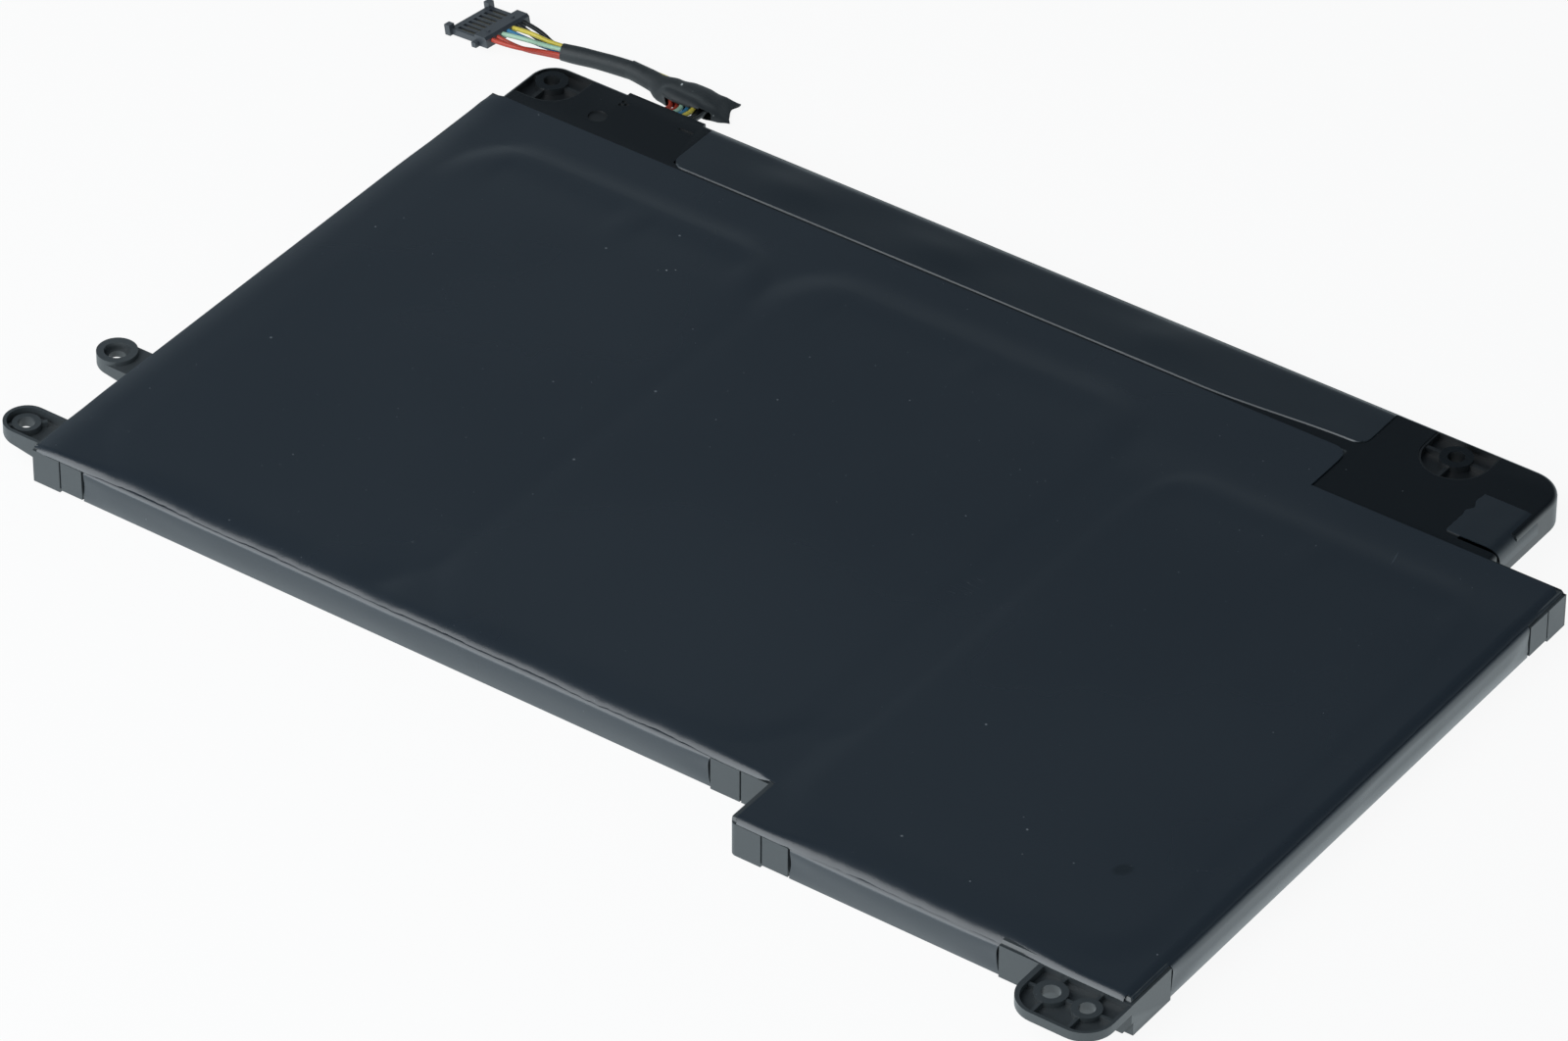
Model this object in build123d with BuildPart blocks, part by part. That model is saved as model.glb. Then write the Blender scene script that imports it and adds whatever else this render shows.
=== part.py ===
"""Laptop battery pack: three pouch cells in a moulded frame, wrapped in thin film, with its cable.

Millimetres, +Z up. The origin is in the middle of the pack's box, without the cable, at the level of
its feet. X runs along the pack, Y from the front walls to the bar with the circuit board.
"""
import os
from math import cos, radians, sin, tan

from build123d import *

os.makedirs("parts", exist_ok=True)

# Pouch cells: their size sets the length and the depth of the pack
cell_width = 65.8
cell_length = 102.5
cell_side_gap = 1.4  # beside the left and the middle cell
cell_gap = 0.8  # beside the right cell
cell_front_gap = 3.0
cell_back_gap = 2.3  # sealed end of a cell to the wall behind it
cell_edge = 1.5
cell_proud = 0.4  # the cells stand higher than the frame
terrace_length = 6.5  # sealed end of the pouch
terrace_thickness = 1.0
terrace_inset = 0.5
adhesive = 0.2
adhesive_margin = 5.0

# Pack
pack_height = 7.0  # feet to the top of the film
nose_step = 10.5  # the right cell stands this much further forward
wall = 1.2
flap_wall = 1.0  # wall behind a film flap
flap_wall_drop = 0.8  # and its top lies below the rest of the frame
film = 0.2
foot_height = 0.3  # feet under the film

# Film edges
lip_radius = 1.0  # the top film turns down over the front and right walls
lip_straight = 0.1  # upright part below the bend
lip_relief = 0.5  # the frame stands back behind the turned edge
lip_slope = 0.4  # and slopes towards the top
film_margin = 0.5  # frame rim left bare along the bar
notch_margin = 0.9  # frame rim left bare along the front notch
under_margin = 0.4  # frame rim left bare under the pack

# Film flaps on the front and right walls
flap_recess = 1.3  # the wall stands back behind a flap
flap_inset = 0.6  # upper and lower edge of a flap, behind the blocks' faces
flap_bulge = 0.2  # middle of a flap, proud of the blocks' faces
flap_drop = 0.7  # top of the pack to the upper edge of a flap
flap_gap = 0.3  # end of a flap to the block beside it

# Corner blocks, each measured along its wall
front_left_block = 9.6
front_left_seam = 5.2
notch_block = 10.9
notch_seam = 5.6
nose_left_block = 10.6
nose_left_seam = 5.7
nose_right_block = 23.0
right_front_block = 10.2
right_back_block = 10.1
right_back_seam = 5.0
back_left_foot = 9.0
seam_width = 0.3
seam_depth = 0.3
foot_notch_width = 1.5  # three-cornered notch at the foot of the nose's right corner
foot_notch_height = 2.4
foot_notch_depth = 0.5
nose_corner_radius = 1.2  # upright edge between the nose and the notch

# Bar with the circuit board, along the back
bar_depth = 12.8
bar_drop = 0.55  # its top lies below the film
bar_bottom = 1.3
bar_left_inset = 1.6
bar_right_inset = 13.3
bar_left_radius = 4.5
bar_right_radius = 6.0
bar_edge = 0.8  # rounding of its top edge
bar_wall = 1.2
bar_floor = 1.0
bar_roof = 1.0
channel_from_left = 17.2  # left wall to the board channel
roof_from_left = 35.2  # left wall to the end of the roof over the channel
channel_end_wall = 1.6
ledge_lap = 0.5  # the tape laps the ledge over the channel's front by this much
shelf_floor = 1.0
plate = 1.2  # top of the plain end of the bar, cored from below

# Mouth of the cable in the bar's back wall
exit_from_left = 24.9
exit_pitch = 1.15
exit_gap = 0.4
hood_width = 16.0
hood_reach = 0.2
hood_thickness = 1.0
hood_notch = 0.9

# Moulding marks on the roof
pin_mark_from_left = 17.7
pin_mark_from_back = 8.2
pin_mark_radius = 1.6
mark_depth = 0.25
slot_mark_from_left = 31.8
slot_mark_from_back = 3.3
slot_mark_length = 2.9
slot_mark_width = 0.6
dot_mark_from_left = 19.1
dot_mark_from_back = 2.9
dot_mark_radius = 0.4
dot_mark_pitch = 1.1

# Screw bosses
screw_radius = 1.4
boss_radius = 2.7
pocket_radius = 5.5
pocket_depth = 1.2
pocket_rim = 0.7
pocket_step = 0.4  # shallow step round a pocket
step_depth = 0.15
rib = 0.7
rib_drop = 0.3
boss_from_back = 4.4
left_boss_from_left = 5.7
right_boss_from_right = 31.5

# Open end of the bar, under the end tape
end_notch_length = 7.2
end_notch_front = 1.5
end_notch_depth = 11.5
end_floor = 1.6
end_sill = 1.6  # the end wall is lower there by this much

# Tabs on the left wall
tab_from_wall = 5.2  # left wall to the screw holes
front_tab_from_front = 5.0
tab_hole_pitch = 22.3
front_tab_radius = 3.7
front_tab_drop = 0.55  # top of the pack to the top of the tab
front_tab_floor = 1.6  # rim to the floor of its pocket
front_boss_radius = 2.3
front_boss_drop = 0.5
rear_tab_radius = 3.3
rear_tab_drop = 1.35
rear_ring_height = 0.8
rear_bore_radius = 2.1
rear_bore_depth = 1.2
tab_tip_thickness = 1.9
tab_root_thickness = 3.4
tab_rim = 0.6

# Tab with two screw holes on the front wall of the right cell
nose_tab_width = 16.1
nose_tab_reach = 9.7
nose_tab_radius = 5.0
nose_tab_drop = 0.05  # lower edge of the top film to the top of the tab
nose_tab_thickness = 1.6
nose_tab_floor = 0.5
nose_left_rim = 0.9
nose_hole_from_wall = 3.9
nose_left_hole = 4.8  # from the tab's left side
nose_hole_pitch = 6.2
nose_left_hole_radius = 1.5
nose_left_boss_radius = 2.6
nose_right_hole_radius = 1.3
nose_right_boss_radius = 2.3
nose_boss_drop = 0.15
nose_rib = 0.5

# Cell tabs
tab_width = 8.0
tab_thickness = 0.2
tab_inset = 6.5  # side of a cell to the middle of its outer tab
tab_pitch = 11.0
tab_on_board = 2.4
slot_gap = 0.5
shelf_gap = 1.1  # right cell's tabs to the end wall of the tray behind it

# Circuit board and what is on it
board_gap = 0.3
board_thickness = 0.8
chip_length = 6.5
chip_width = 4.4
chip_height = 1.0
switch_length = 5.0
switch_width = 5.6
switch_height = 1.0
resistor_length = 6.4
resistor_width = 3.2
resistor_height = 0.7
fuse_length = 5.4
fuse_width = 3.2
fuse_height = 1.4
thermistor_length = 1.6
thermistor_width = 0.8
thermistor_height = 0.8
capacitor_length = 2.0
capacitor_width = 1.2
capacitor_height = 0.9
capacitor_pitch = 2.4
capacitor_count = 4
part_from_edge = 1.2  # board's back edge to the parts beside it
joint_length = 1.6
joint_width = 1.0
joint_height = 1.1
joint_from_edge = 1.0

# Tapes
board_tape_right = 0.5  # its right end past the step in the back wall
board_tape_front = 0.7
board_tape_slant = 1.9  # its front edge runs back towards the right
board_tape_slant_from_right = 29.5
board_tape_flap = 2.6
board_tape_radius = 0.5
board_tape_corner = 1.5
end_tape_length = 9.6
end_tape_front = 2.2
end_tape_width = 11.0
end_tape_flap = 3.2
end_tape_radius = 0.5

# Cable
wire_diameter = 0.8
wire_sides = 6
bundle_clearance = 0.1
sleeve_gap = 0.05
sleeve_wall = 0.2
sleeve_sides = 20
wrap_wall = 0.2
wrap_corner = 0.3  # its rounded corners, as a share of its height
wrap_gap = 0.2  # end of the sleeve to the wrap
wrap_mouth_side = 2.0  # its mouth is wider on the side that the wires turn to
wrap_mouth_reach = 9.4
sleeve_set_back = 1.6
plug_turn = 8.2  # degrees
plug_tilt = 9.6  # degrees; the cable holds its back up
plug_pitch = 1.2
plug_wire_height = 1.0
plug_length = 10.0
plug_rail_width = 2.8
plug_height = 1.9
plug_slope = 0.4
nose_length = 6.4
nose_end_gap = 0.4
nose_height = 1.1
slot_count = 7
slot_width = 0.65
slot_length = 4.4
slot_depth = 0.7
slot_front_rim = 1.2
ear_length = 1.2
ear_width = 1.2
ear_height = 1.9
hook_length = 0.9
hook_width = 1.0
hook_height = 0.9
pip_radius = 0.35
pip_height = 0.15
pip_pitch = 5.6
contact_thickness = 0.35
contact_height = 0.4
contact_length = 3.4

# Lengths that follow from the cells
flap_side = flap_recess + flap_wall
bay_width = cell_width + 2 * cell_side_gap
notch_from_left = 2 * (wall + bay_width)
body_length = notch_from_left + wall + cell_width + 2 * cell_gap + flap_side
bay_depth = cell_front_gap + cell_length + terrace_length + cell_back_gap
body_depth = flap_side + bay_depth + wall
shelf_width = 2 * wall + cell_gap + tab_inset + tab_pitch + tab_width / 2 + shelf_gap

# Places along X
total_length = front_tab_radius + tab_from_wall + body_length + flap_bulge
left_x = front_tab_radius + tab_from_wall - total_length / 2
right_x = left_x + body_length
notch_x = left_x + notch_from_left
step_x = notch_x + shelf_width
bar_left_x = left_x + bar_left_inset
bar_right_x = right_x - bar_right_inset
channel_x = left_x + channel_from_left
channel_end_x = step_x - channel_end_wall
roof_x = left_x + roof_from_left
exit_x = left_x + exit_from_left
tab_x = left_x - tab_from_wall
left_boss_x = left_x + left_boss_from_left
right_boss_x = right_x - right_boss_from_right

# Places along Y
total_depth = nose_tab_reach + nose_step + body_depth + bar_depth + hood_reach
nose_y = nose_tab_reach - total_depth / 2
front_y = nose_y + nose_step
back_y = front_y + body_depth
step_y = back_y - nose_step
bar_y = back_y + bar_depth
boss_y = bar_y - boss_from_back
front_tab_y = front_y + front_tab_from_front
rear_tab_y = front_tab_y + tab_hole_pitch

# Levels
floor_top = foot_height + film
film_z = pack_height - film
frame_top = film_z - cell_proud
lip_z = pack_height - lip_radius - lip_straight
bar_top = pack_height - bar_drop
board_z = bar_bottom + bar_floor
board_top = board_z + board_thickness
roof_z = bar_top - bar_roof

# Cell bays between the walls
right_bay_left = notch_x + wall
right_bay_right = right_x - flap_side
bay_front = front_y + flap_side
bay_back = back_y - wall
left_bay_left = left_x + wall
middle_bay_left = left_bay_left + bay_width + wall
cell_z = floor_top + adhesive
cell_height = film_z - cell_z
cell_y = bay_front + cell_front_gap
left_cell_x = left_bay_left + bay_width / 2
middle_cell_x = middle_bay_left + bay_width / 2
right_cell_x = (right_bay_left + right_bay_right) / 2
terrace_z = board_top + (tab_thickness - terrace_thickness) / 2
tab_end_y = back_y + bar_wall + board_gap + tab_on_board

# The middle of each cell's tabs; the left cell lies turned over
left_tabs = [left_cell_x + cell_width / 2 - tab_inset - n * tab_pitch for n in (0, 1)]
middle_tabs = [middle_cell_x - cell_width / 2 + tab_inset + n * tab_pitch for n in (0, 1)]
right_tabs = [right_cell_x - cell_width / 2 + tab_inset + n * tab_pitch for n in (0, 1)]

# Flaps: where each starts and ends along its wall
front_flap = (left_x + front_left_block, notch_x - notch_block)
nose_flap = (notch_x + nose_left_block, right_x - nose_right_block)
right_flap = (nose_y + right_front_block, step_y - right_back_block)

# Feet: corner blocks that reach below the film, as x from, x to, y from, y to
feet = [
    (left_x, left_x + front_left_seam, front_y, front_y + flap_side),
    (notch_x - notch_block, notch_x, front_y, front_y + flap_side),
    (notch_x, notch_x + nose_left_seam, nose_y, nose_y + flap_side),
    (right_x - nose_right_block, right_x, nose_y, nose_y + flap_side),
    (right_x - flap_side, right_x, nose_y, nose_y + right_front_block),
    (right_x - flap_side, right_x, step_y - right_back_seam, step_y),
    (left_x, left_x + wall, back_y - back_left_foot, back_y),
]


def area(x_from, x_to, y_from, y_to, mode=Mode.ADD):
    """A rectangle between two places along x and y, in the open sketch."""
    with Locations(((x_from + x_to) / 2, (y_from + y_to) / 2)):
        Rectangle(x_to - x_from, y_to - y_from, mode=mode)


def boss_pockets(radius):
    """Plan of the pockets round the bar's two bosses, in the open sketch."""
    pocket_back = bar_y - pocket_rim
    with Locations((left_boss_x, boss_y), (right_boss_x, boss_y)):
        Circle(radius)
    area(left_x - radius, right_boss_x + radius, boss_y, boss_y + radius, Mode.SUBTRACT)
    area(left_x - radius, left_boss_x, boss_y - radius, boss_y, Mode.SUBTRACT)
    area(right_boss_x - radius, right_boss_x + radius, boss_y, pocket_back)
    area(left_boss_x, left_boss_x + radius, boss_y, pocket_back)
    corner = bar_left_radius - pocket_rim
    area(bar_left_x + pocket_rim, left_boss_x, boss_y - radius, pocket_back - corner)
    area(bar_left_x + pocket_rim + corner, left_boss_x + corner, boss_y, pocket_back)
    with Locations((bar_left_x + pocket_rim + corner, pocket_back - corner)):
        Circle(corner)


def arc_radii(points):
    """The largest radii that a cable's runs allow, one for each corner of its route."""
    radii = []
    for before, corner, after in zip(points, points[1:], points[2:]):
        first = Vector(*corner) - Vector(*before)
        second = Vector(*after) - Vector(*corner)
        half_turn = radians(first.get_angle(second)) / 2
        radii.append(0.45 * min(first.length, second.length) / tan(half_turn))
    return radii


# The moulded frame
with BuildPart() as frame:
    # Walls, up to the edge of the top film
    with BuildSketch(Plane.XY.offset(floor_top)):
        with BuildLine():
            Polyline(
                (left_x, front_y),
                (notch_x, front_y),
                (notch_x, nose_y),
                (right_x, nose_y),
                (right_x, step_y),
                (step_x, step_y),
                (step_x, back_y),
                (left_x, back_y),
                close=True,
            )
        make_face()
    extrude(amount=lip_z - floor_top)
    # Upper part, which stands back and slopes under the turned-down film
    with BuildSketch(Plane.XY.offset(lip_z)):
        with BuildLine():
            Polyline(
                (left_x, front_y + lip_relief),
                (notch_x, front_y + lip_relief),
                (notch_x, nose_y + lip_relief),
                (right_x - lip_relief, nose_y + lip_relief),
                (right_x - lip_relief, step_y),
                (step_x, step_y),
                (step_x, back_y),
                (left_x, back_y),
                close=True,
            )
        make_face()
    extrude(amount=frame_top - lip_z)
    top_edges = frame.edges().group_by(Axis.Z)[-1]
    front_edges = top_edges.filter_by(Axis.X).group_by(Axis.Y)
    right_edge = top_edges.filter_by(Axis.Y).sort_by(Axis.X)[-1:]
    chamfer(front_edges[0] + front_edges[1] + right_edge, length=lip_slope)
    # Bays for the three cells, open above and below
    with BuildSketch(Plane.XY):
        area(left_bay_left, left_bay_left + bay_width, bay_front, bay_back)
        area(middle_bay_left, middle_bay_left + bay_width, bay_front, bay_back)
        area(right_bay_left, right_bay_right, bay_front - nose_step, bay_back - nose_step)
    extrude(amount=pack_height, mode=Mode.SUBTRACT)
    # Tray behind the right cell, crossed by its tabs
    with BuildSketch(Plane.XY.offset(floor_top + shelf_floor)):
        area(right_bay_left, step_x - wall, step_y, bay_back)
    extrude(amount=pack_height, mode=Mode.SUBTRACT)
    # Walls set back behind the film flaps
    with BuildSketch(Plane.XY):
        area(*front_flap, front_y, front_y + flap_recess)
        area(*nose_flap, nose_y, nose_y + flap_recess)
        area(right_x - flap_recess, right_x, *right_flap)
    extrude(amount=pack_height, mode=Mode.SUBTRACT)
    # They are lower too, so that the film can sink over them
    with BuildSketch(Plane.XY.offset(frame_top - flap_wall_drop)):
        area(*front_flap, front_y, front_y + flap_side)
        area(*nose_flap, nose_y, nose_y + flap_side)
        area(right_x - flap_side, right_x, *right_flap)
    extrude(amount=pack_height, mode=Mode.SUBTRACT)
    # Corner blocks reach down to the floor
    with BuildSketch(Plane.XY):
        for foot in feet:
            area(*foot)
    extrude(amount=floor_top)
    # Seams in the faces of the blocks
    with BuildSketch(Plane.XY):
        for seam_x, seam_y in (
            (left_x + front_left_seam, front_y),
            (notch_x - notch_seam, front_y),
            (notch_x + nose_left_seam, nose_y),
        ):
            area(seam_x, seam_x + seam_width, seam_y, seam_y + seam_depth)
        seam_y = step_y - right_back_seam
        area(right_x - seam_depth, right_x, seam_y - seam_width, seam_y)
    extrude(amount=lip_z, mode=Mode.SUBTRACT)

    # Three-cornered notch at the foot of the nose's right corner
    with BuildSketch(Plane.XZ.offset(-nose_y)):
        with BuildLine():
            Polyline(
                (right_x - foot_notch_width, 0),
                (right_x, 0),
                (right_x, foot_notch_height),
                close=True,
            )
        make_face()
    extrude(amount=-foot_notch_depth, mode=Mode.SUBTRACT)

    # Rounded upright edge between the nose and the notch
    with BuildSketch(Plane.XY):
        corner_x = notch_x + nose_corner_radius
        corner_y = nose_y + nose_corner_radius
        area(notch_x, corner_x, nose_y, corner_y)
        with Locations((corner_x, corner_y)):
            Circle(nose_corner_radius, mode=Mode.SUBTRACT)
    extrude(amount=pack_height, mode=Mode.SUBTRACT)

    # Bar for the circuit board, with its plain right end beside the right cell
    with BuildSketch(Plane.XY.offset(bar_bottom)) as bar_plan:
        with BuildLine():
            Polyline(
                (bar_left_x, back_y - wall / 2),
                (bar_left_x, bar_y),
                (bar_right_x, bar_y),
                (bar_right_x, step_y - wall / 2),
                (step_x - wall / 2, step_y - wall / 2),
                (step_x - wall / 2, back_y - wall / 2),
                close=True,
            )
        make_face()
        back_corners = bar_plan.vertices().group_by(Axis.Y)[-1].sort_by(Axis.X)
        fillet(back_corners[0], radius=bar_left_radius)
        fillet(bar_plan.vertices().group_by(Axis.Y)[-1].sort_by(Axis.X)[-1], radius=bar_right_radius)
    extrude(amount=bar_top - bar_bottom)
    bar_edges = frame.edges().filter_by(
        lambda e: abs(e.center().Z - bar_top) < 0.001 and e.center().X < bar_right_x + 0.001
    )
    outer_edges = bar_edges.filter_by(
        lambda e: e.center().Y > bar_y - bar_left_radius / 2
        or abs(e.center().X - bar_left_x) < 0.001
        or e.center().X > bar_right_x - bar_right_radius / 2
    )
    fillet(outer_edges, radius=bar_edge)
    # Hood over the cable's mouth, with a notch at its left end
    with BuildSketch(Plane.XY.offset(bar_top - hood_thickness)):
        hood_x = channel_x + hood_notch
        area(hood_x, channel_x + hood_width, bar_y - bar_wall, bar_y + hood_reach)
    extrude(amount=hood_thickness)
    # Channel for the board: roofed at its left end, open above for the rest of its length
    with BuildSketch(Plane.XY.offset(board_z)):
        area(channel_x, channel_end_x, back_y + bar_wall, bar_y - bar_wall)
    extrude(amount=roof_z - board_z, mode=Mode.SUBTRACT)
    # A ledge stays over its front where the tape's edge runs back
    with BuildSketch(Plane.XY.offset(roof_z)):
        ledge_x = step_x + board_tape_right - board_tape_slant_from_right
        ledge_y = back_y + board_tape_front + board_tape_slant + ledge_lap
        area(roof_x, ledge_x, back_y + bar_wall, bar_y - bar_wall)
        area(ledge_x, channel_end_x, ledge_y, bar_y - bar_wall)
    extrude(amount=pack_height, mode=Mode.SUBTRACT)
    # Mouth for the wires
    with BuildSketch(Plane.XY.offset(board_top - exit_gap)):
        mouth = 6 * exit_pitch + wire_diameter + 2 * exit_gap
        area(exit_x - mouth / 2, exit_x + mouth / 2, bar_y - 2 * bar_wall, bar_y + 2 * hood_reach)
    extrude(amount=wire_diameter + 2 * exit_gap, mode=Mode.SUBTRACT)
    # Slots for the cell tabs, through the walls
    with BuildSketch(Plane.XY.offset(board_top - slot_gap)):
        for x in left_tabs + middle_tabs + right_tabs:
            half = tab_width / 2 + slot_gap
            area(x - half, x + half, bay_back - wall, back_y + 2 * bar_wall)
        for x in right_tabs:
            area(x - half, x + half, step_y - 2 * wall, step_y + wall)
    extrude(amount=tab_thickness + 2 * slot_gap, mode=Mode.SUBTRACT)
    # Marks of the mould on the roof
    with BuildSketch(Plane.XY.offset(bar_top - mark_depth)):
        with Locations((left_x + pin_mark_from_left, bar_y - pin_mark_from_back)):
            Circle(pin_mark_radius)
        with Locations((left_x + slot_mark_from_left, bar_y - slot_mark_from_back)):
            SlotOverall(slot_mark_length, slot_mark_width)
        dot_place = (left_x + dot_mark_from_left, bar_y - dot_mark_from_back)
        with Locations(dot_place):
            with PolarLocations(dot_mark_pitch / 2, 3):
                Circle(dot_mark_radius)
    extrude(amount=pack_height, mode=Mode.SUBTRACT)
    # The bar's plain end is cored from below
    core_y = boss_y - pocket_radius - wall
    with BuildSketch(Plane.XY.offset(bar_bottom)):
        area(step_x + wall, bar_right_x - end_notch_length - wall, step_y + wall, core_y)
    extrude(amount=bar_top - plate - bar_bottom, mode=Mode.SUBTRACT)
    # Its outer end is open above, with a low sill
    with BuildSketch(Plane.XY.offset(bar_bottom + end_floor)):
        notch_y = step_y + end_notch_front
        area(bar_right_x - end_notch_length, bar_right_x - wall, notch_y, notch_y + end_notch_depth)
    extrude(amount=pack_height, mode=Mode.SUBTRACT)
    with BuildSketch(Plane.XY.offset(bar_top - end_sill)):
        area(bar_right_x - 2 * wall, bar_right_x + wall, notch_y, notch_y + end_notch_depth / 2)
    extrude(amount=pack_height, mode=Mode.SUBTRACT)

    # Cored pockets round the two bosses in the bar, with a shallow step round them
    with BuildSketch(Plane.XY.offset(bar_top - step_depth)):
        boss_pockets(pocket_radius + pocket_step)
    extrude(amount=step_depth, mode=Mode.SUBTRACT)
    with BuildSketch(Plane.XY.offset(bar_top - pocket_depth)):
        boss_pockets(pocket_radius)
    extrude(amount=pocket_depth, mode=Mode.SUBTRACT)
    # Bosses and the ribs that hold them
    with BuildSketch(Plane.XY.offset(bar_top - pocket_depth)):
        with Locations((left_boss_x, boss_y), (right_boss_x, boss_y)):
            Circle(boss_radius)
    extrude(amount=pocket_depth)
    with BuildSketch(Plane.XY.offset(bar_top - pocket_depth)):
        for x in (left_boss_x, right_boss_x):
            area(x, x + pocket_radius, boss_y - rib / 2, boss_y + rib / 2)
            area(x - rib / 2, x + rib / 2, boss_y - pocket_radius, boss_y)
        area(bar_left_x + pocket_rim, left_boss_x, boss_y - rib / 2, boss_y + rib / 2)
        area(right_boss_x - pocket_radius, right_boss_x, boss_y - rib / 2, boss_y + rib / 2)
    extrude(amount=pocket_depth - rib_drop)
    with Locations((left_boss_x, boss_y, bar_top), (right_boss_x, boss_y, bar_top)):
        Hole(screw_radius)

    # Front tab on the left wall: a rimmed pocket round a boss with four ribs
    front_tab_top = pack_height - front_tab_drop
    with BuildSketch(Plane.XY.offset(front_tab_top - tab_root_thickness)):
        with Locations((tab_x, front_tab_y)):
            Circle(front_tab_radius)
        area(tab_x, left_x + wall / 2, front_tab_y - front_tab_radius, front_tab_y + front_tab_radius)
    extrude(amount=tab_root_thickness)
    inner = front_tab_radius - tab_rim
    with BuildSketch(Plane.XY.offset(front_tab_top - front_tab_floor)):
        with Locations((tab_x, front_tab_y)):
            Circle(inner)
        area(tab_x, left_x, front_tab_y - inner, front_tab_y + inner)
    extrude(amount=front_tab_floor, mode=Mode.SUBTRACT)
    with BuildSketch(Plane.XY.offset(front_tab_top - front_tab_floor)):
        with Locations((tab_x, front_tab_y)):
            Circle(front_boss_radius)
    extrude(amount=front_tab_floor - front_boss_drop)
    with BuildSketch(Plane.XY.offset(front_tab_top - front_tab_floor)):
        with Locations((tab_x, front_tab_y)):
            with PolarLocations(0, 2, start_angle=45):
                Rectangle(2 * inner + tab_rim / 2, rib)
    extrude(amount=front_tab_floor - front_boss_drop - rib_drop / 2)
    # Rear tab on the left wall: a plate with a raised, counterbored ring
    rear_tab_top = pack_height - rear_tab_drop
    with BuildSketch(Plane.XY.offset(front_tab_top - tab_root_thickness)):
        with Locations((tab_x, rear_tab_y)):
            Circle(rear_tab_radius)
        area(tab_x, left_x + wall / 2, rear_tab_y - rear_tab_radius, rear_tab_y + rear_tab_radius)
    extrude(amount=rear_tab_top - front_tab_top + tab_root_thickness)
    with BuildSketch(Plane.XY.offset(rear_tab_top)):
        with Locations((tab_x, rear_tab_y)):
            Circle(rear_tab_radius)
    extrude(amount=rear_ring_height)
    # Both undersides slope up towards the tip
    tip_x = tab_x - front_tab_radius
    with BuildSketch(Plane.XZ.offset(-front_tab_y)):
        with BuildLine():
            Polyline(
                (tip_x - wall, front_tab_top - tab_root_thickness - wall),
                (left_x, front_tab_top - tab_root_thickness - wall),
                (left_x, front_tab_top - tab_root_thickness),
                (tip_x, front_tab_top - tab_tip_thickness),
                (tip_x - wall, front_tab_top - tab_tip_thickness),
                close=True,
            )
        make_face()
    extrude(amount=tab_hole_pitch + 2 * front_tab_radius, both=True, mode=Mode.SUBTRACT)
    with Locations((tab_x, front_tab_y, front_tab_top - front_boss_drop)):
        Hole(screw_radius)
    with Locations((tab_x, rear_tab_y, rear_tab_top + rear_ring_height)):
        CounterBoreHole(screw_radius, rear_bore_radius, rear_bore_depth)

    # Tab with two bosses in front of the right cell: rim, floor, bosses, ribs
    nose_tab_top = lip_z - nose_tab_drop
    nose_tab_z = nose_tab_top - nose_tab_thickness
    nose_tab_x = right_x - nose_tab_width
    nose_tab_y = nose_y - nose_tab_reach
    with BuildSketch(Plane.XY.offset(nose_tab_z)) as tab_plan:
        area(nose_tab_x, right_x, nose_tab_y, nose_y + flap_wall)
        fillet(tab_plan.vertices().group_by(Axis.Y)[0], radius=nose_tab_radius)
    extrude(amount=nose_tab_thickness)
    with BuildSketch(Plane.XY.offset(nose_tab_z + nose_tab_floor)) as tab_pocket:
        area(nose_tab_x + nose_left_rim, right_x - tab_rim, nose_tab_y + tab_rim, nose_y)
        fillet(tab_pocket.vertices().group_by(Axis.Y)[0], radius=nose_tab_radius - nose_left_rim)
    extrude(amount=nose_tab_thickness, mode=Mode.SUBTRACT)
    nose_hole_y = nose_y - nose_hole_from_wall
    nose_left_x = nose_tab_x + nose_left_hole
    nose_right_x = nose_left_x + nose_hole_pitch
    with BuildSketch(Plane.XY.offset(nose_tab_z)):
        with Locations((nose_left_x, nose_hole_y)):
            Circle(nose_left_boss_radius)
        with Locations((nose_right_x, nose_hole_y)):
            Circle(nose_right_boss_radius)
    extrude(amount=nose_tab_thickness - nose_boss_drop)
    with BuildSketch(Plane.XY.offset(nose_tab_z)):
        half = nose_rib / 2
        area(nose_tab_x + half, right_x - half, nose_hole_y - half, nose_hole_y + half)
        for x in (nose_left_x, nose_right_x):
            area(x - half, x + half, nose_tab_y + half, nose_y)
    extrude(amount=nose_tab_thickness - nose_boss_drop - rib_drop / 2)
    with Locations((nose_left_x, nose_hole_y, nose_tab_top)):
        Hole(nose_left_hole_radius)
    with Locations((nose_right_x, nose_hole_y, nose_tab_top)):
        Hole(nose_right_hole_radius)

# Inside of the top film's turned-down edge
with BuildPart() as film_inside:
    with BuildSketch(Plane.XY.offset(lip_z - lip_radius)):
        with BuildLine():
            Polyline(
                (left_x - wall, front_y + film),
                (notch_x + notch_margin, front_y + film),
                (notch_x + notch_margin, nose_y + film),
                (right_x - film, nose_y + film),
                (right_x - film, back_y + wall),
                (left_x - wall, back_y + wall),
                close=True,
            )
        make_face()
    extrude(amount=film_z - lip_z + lip_radius)
    inside_edges = film_inside.edges().group_by(Axis.Z)[-1]
    inside_front = inside_edges.filter_by(Axis.X).group_by(Axis.Y)
    inside_right = inside_edges.filter_by(Axis.Y).sort_by(Axis.X)[-1:]
    fillet(inside_front[0] + inside_front[1] + inside_right, radius=lip_radius - film)

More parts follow.
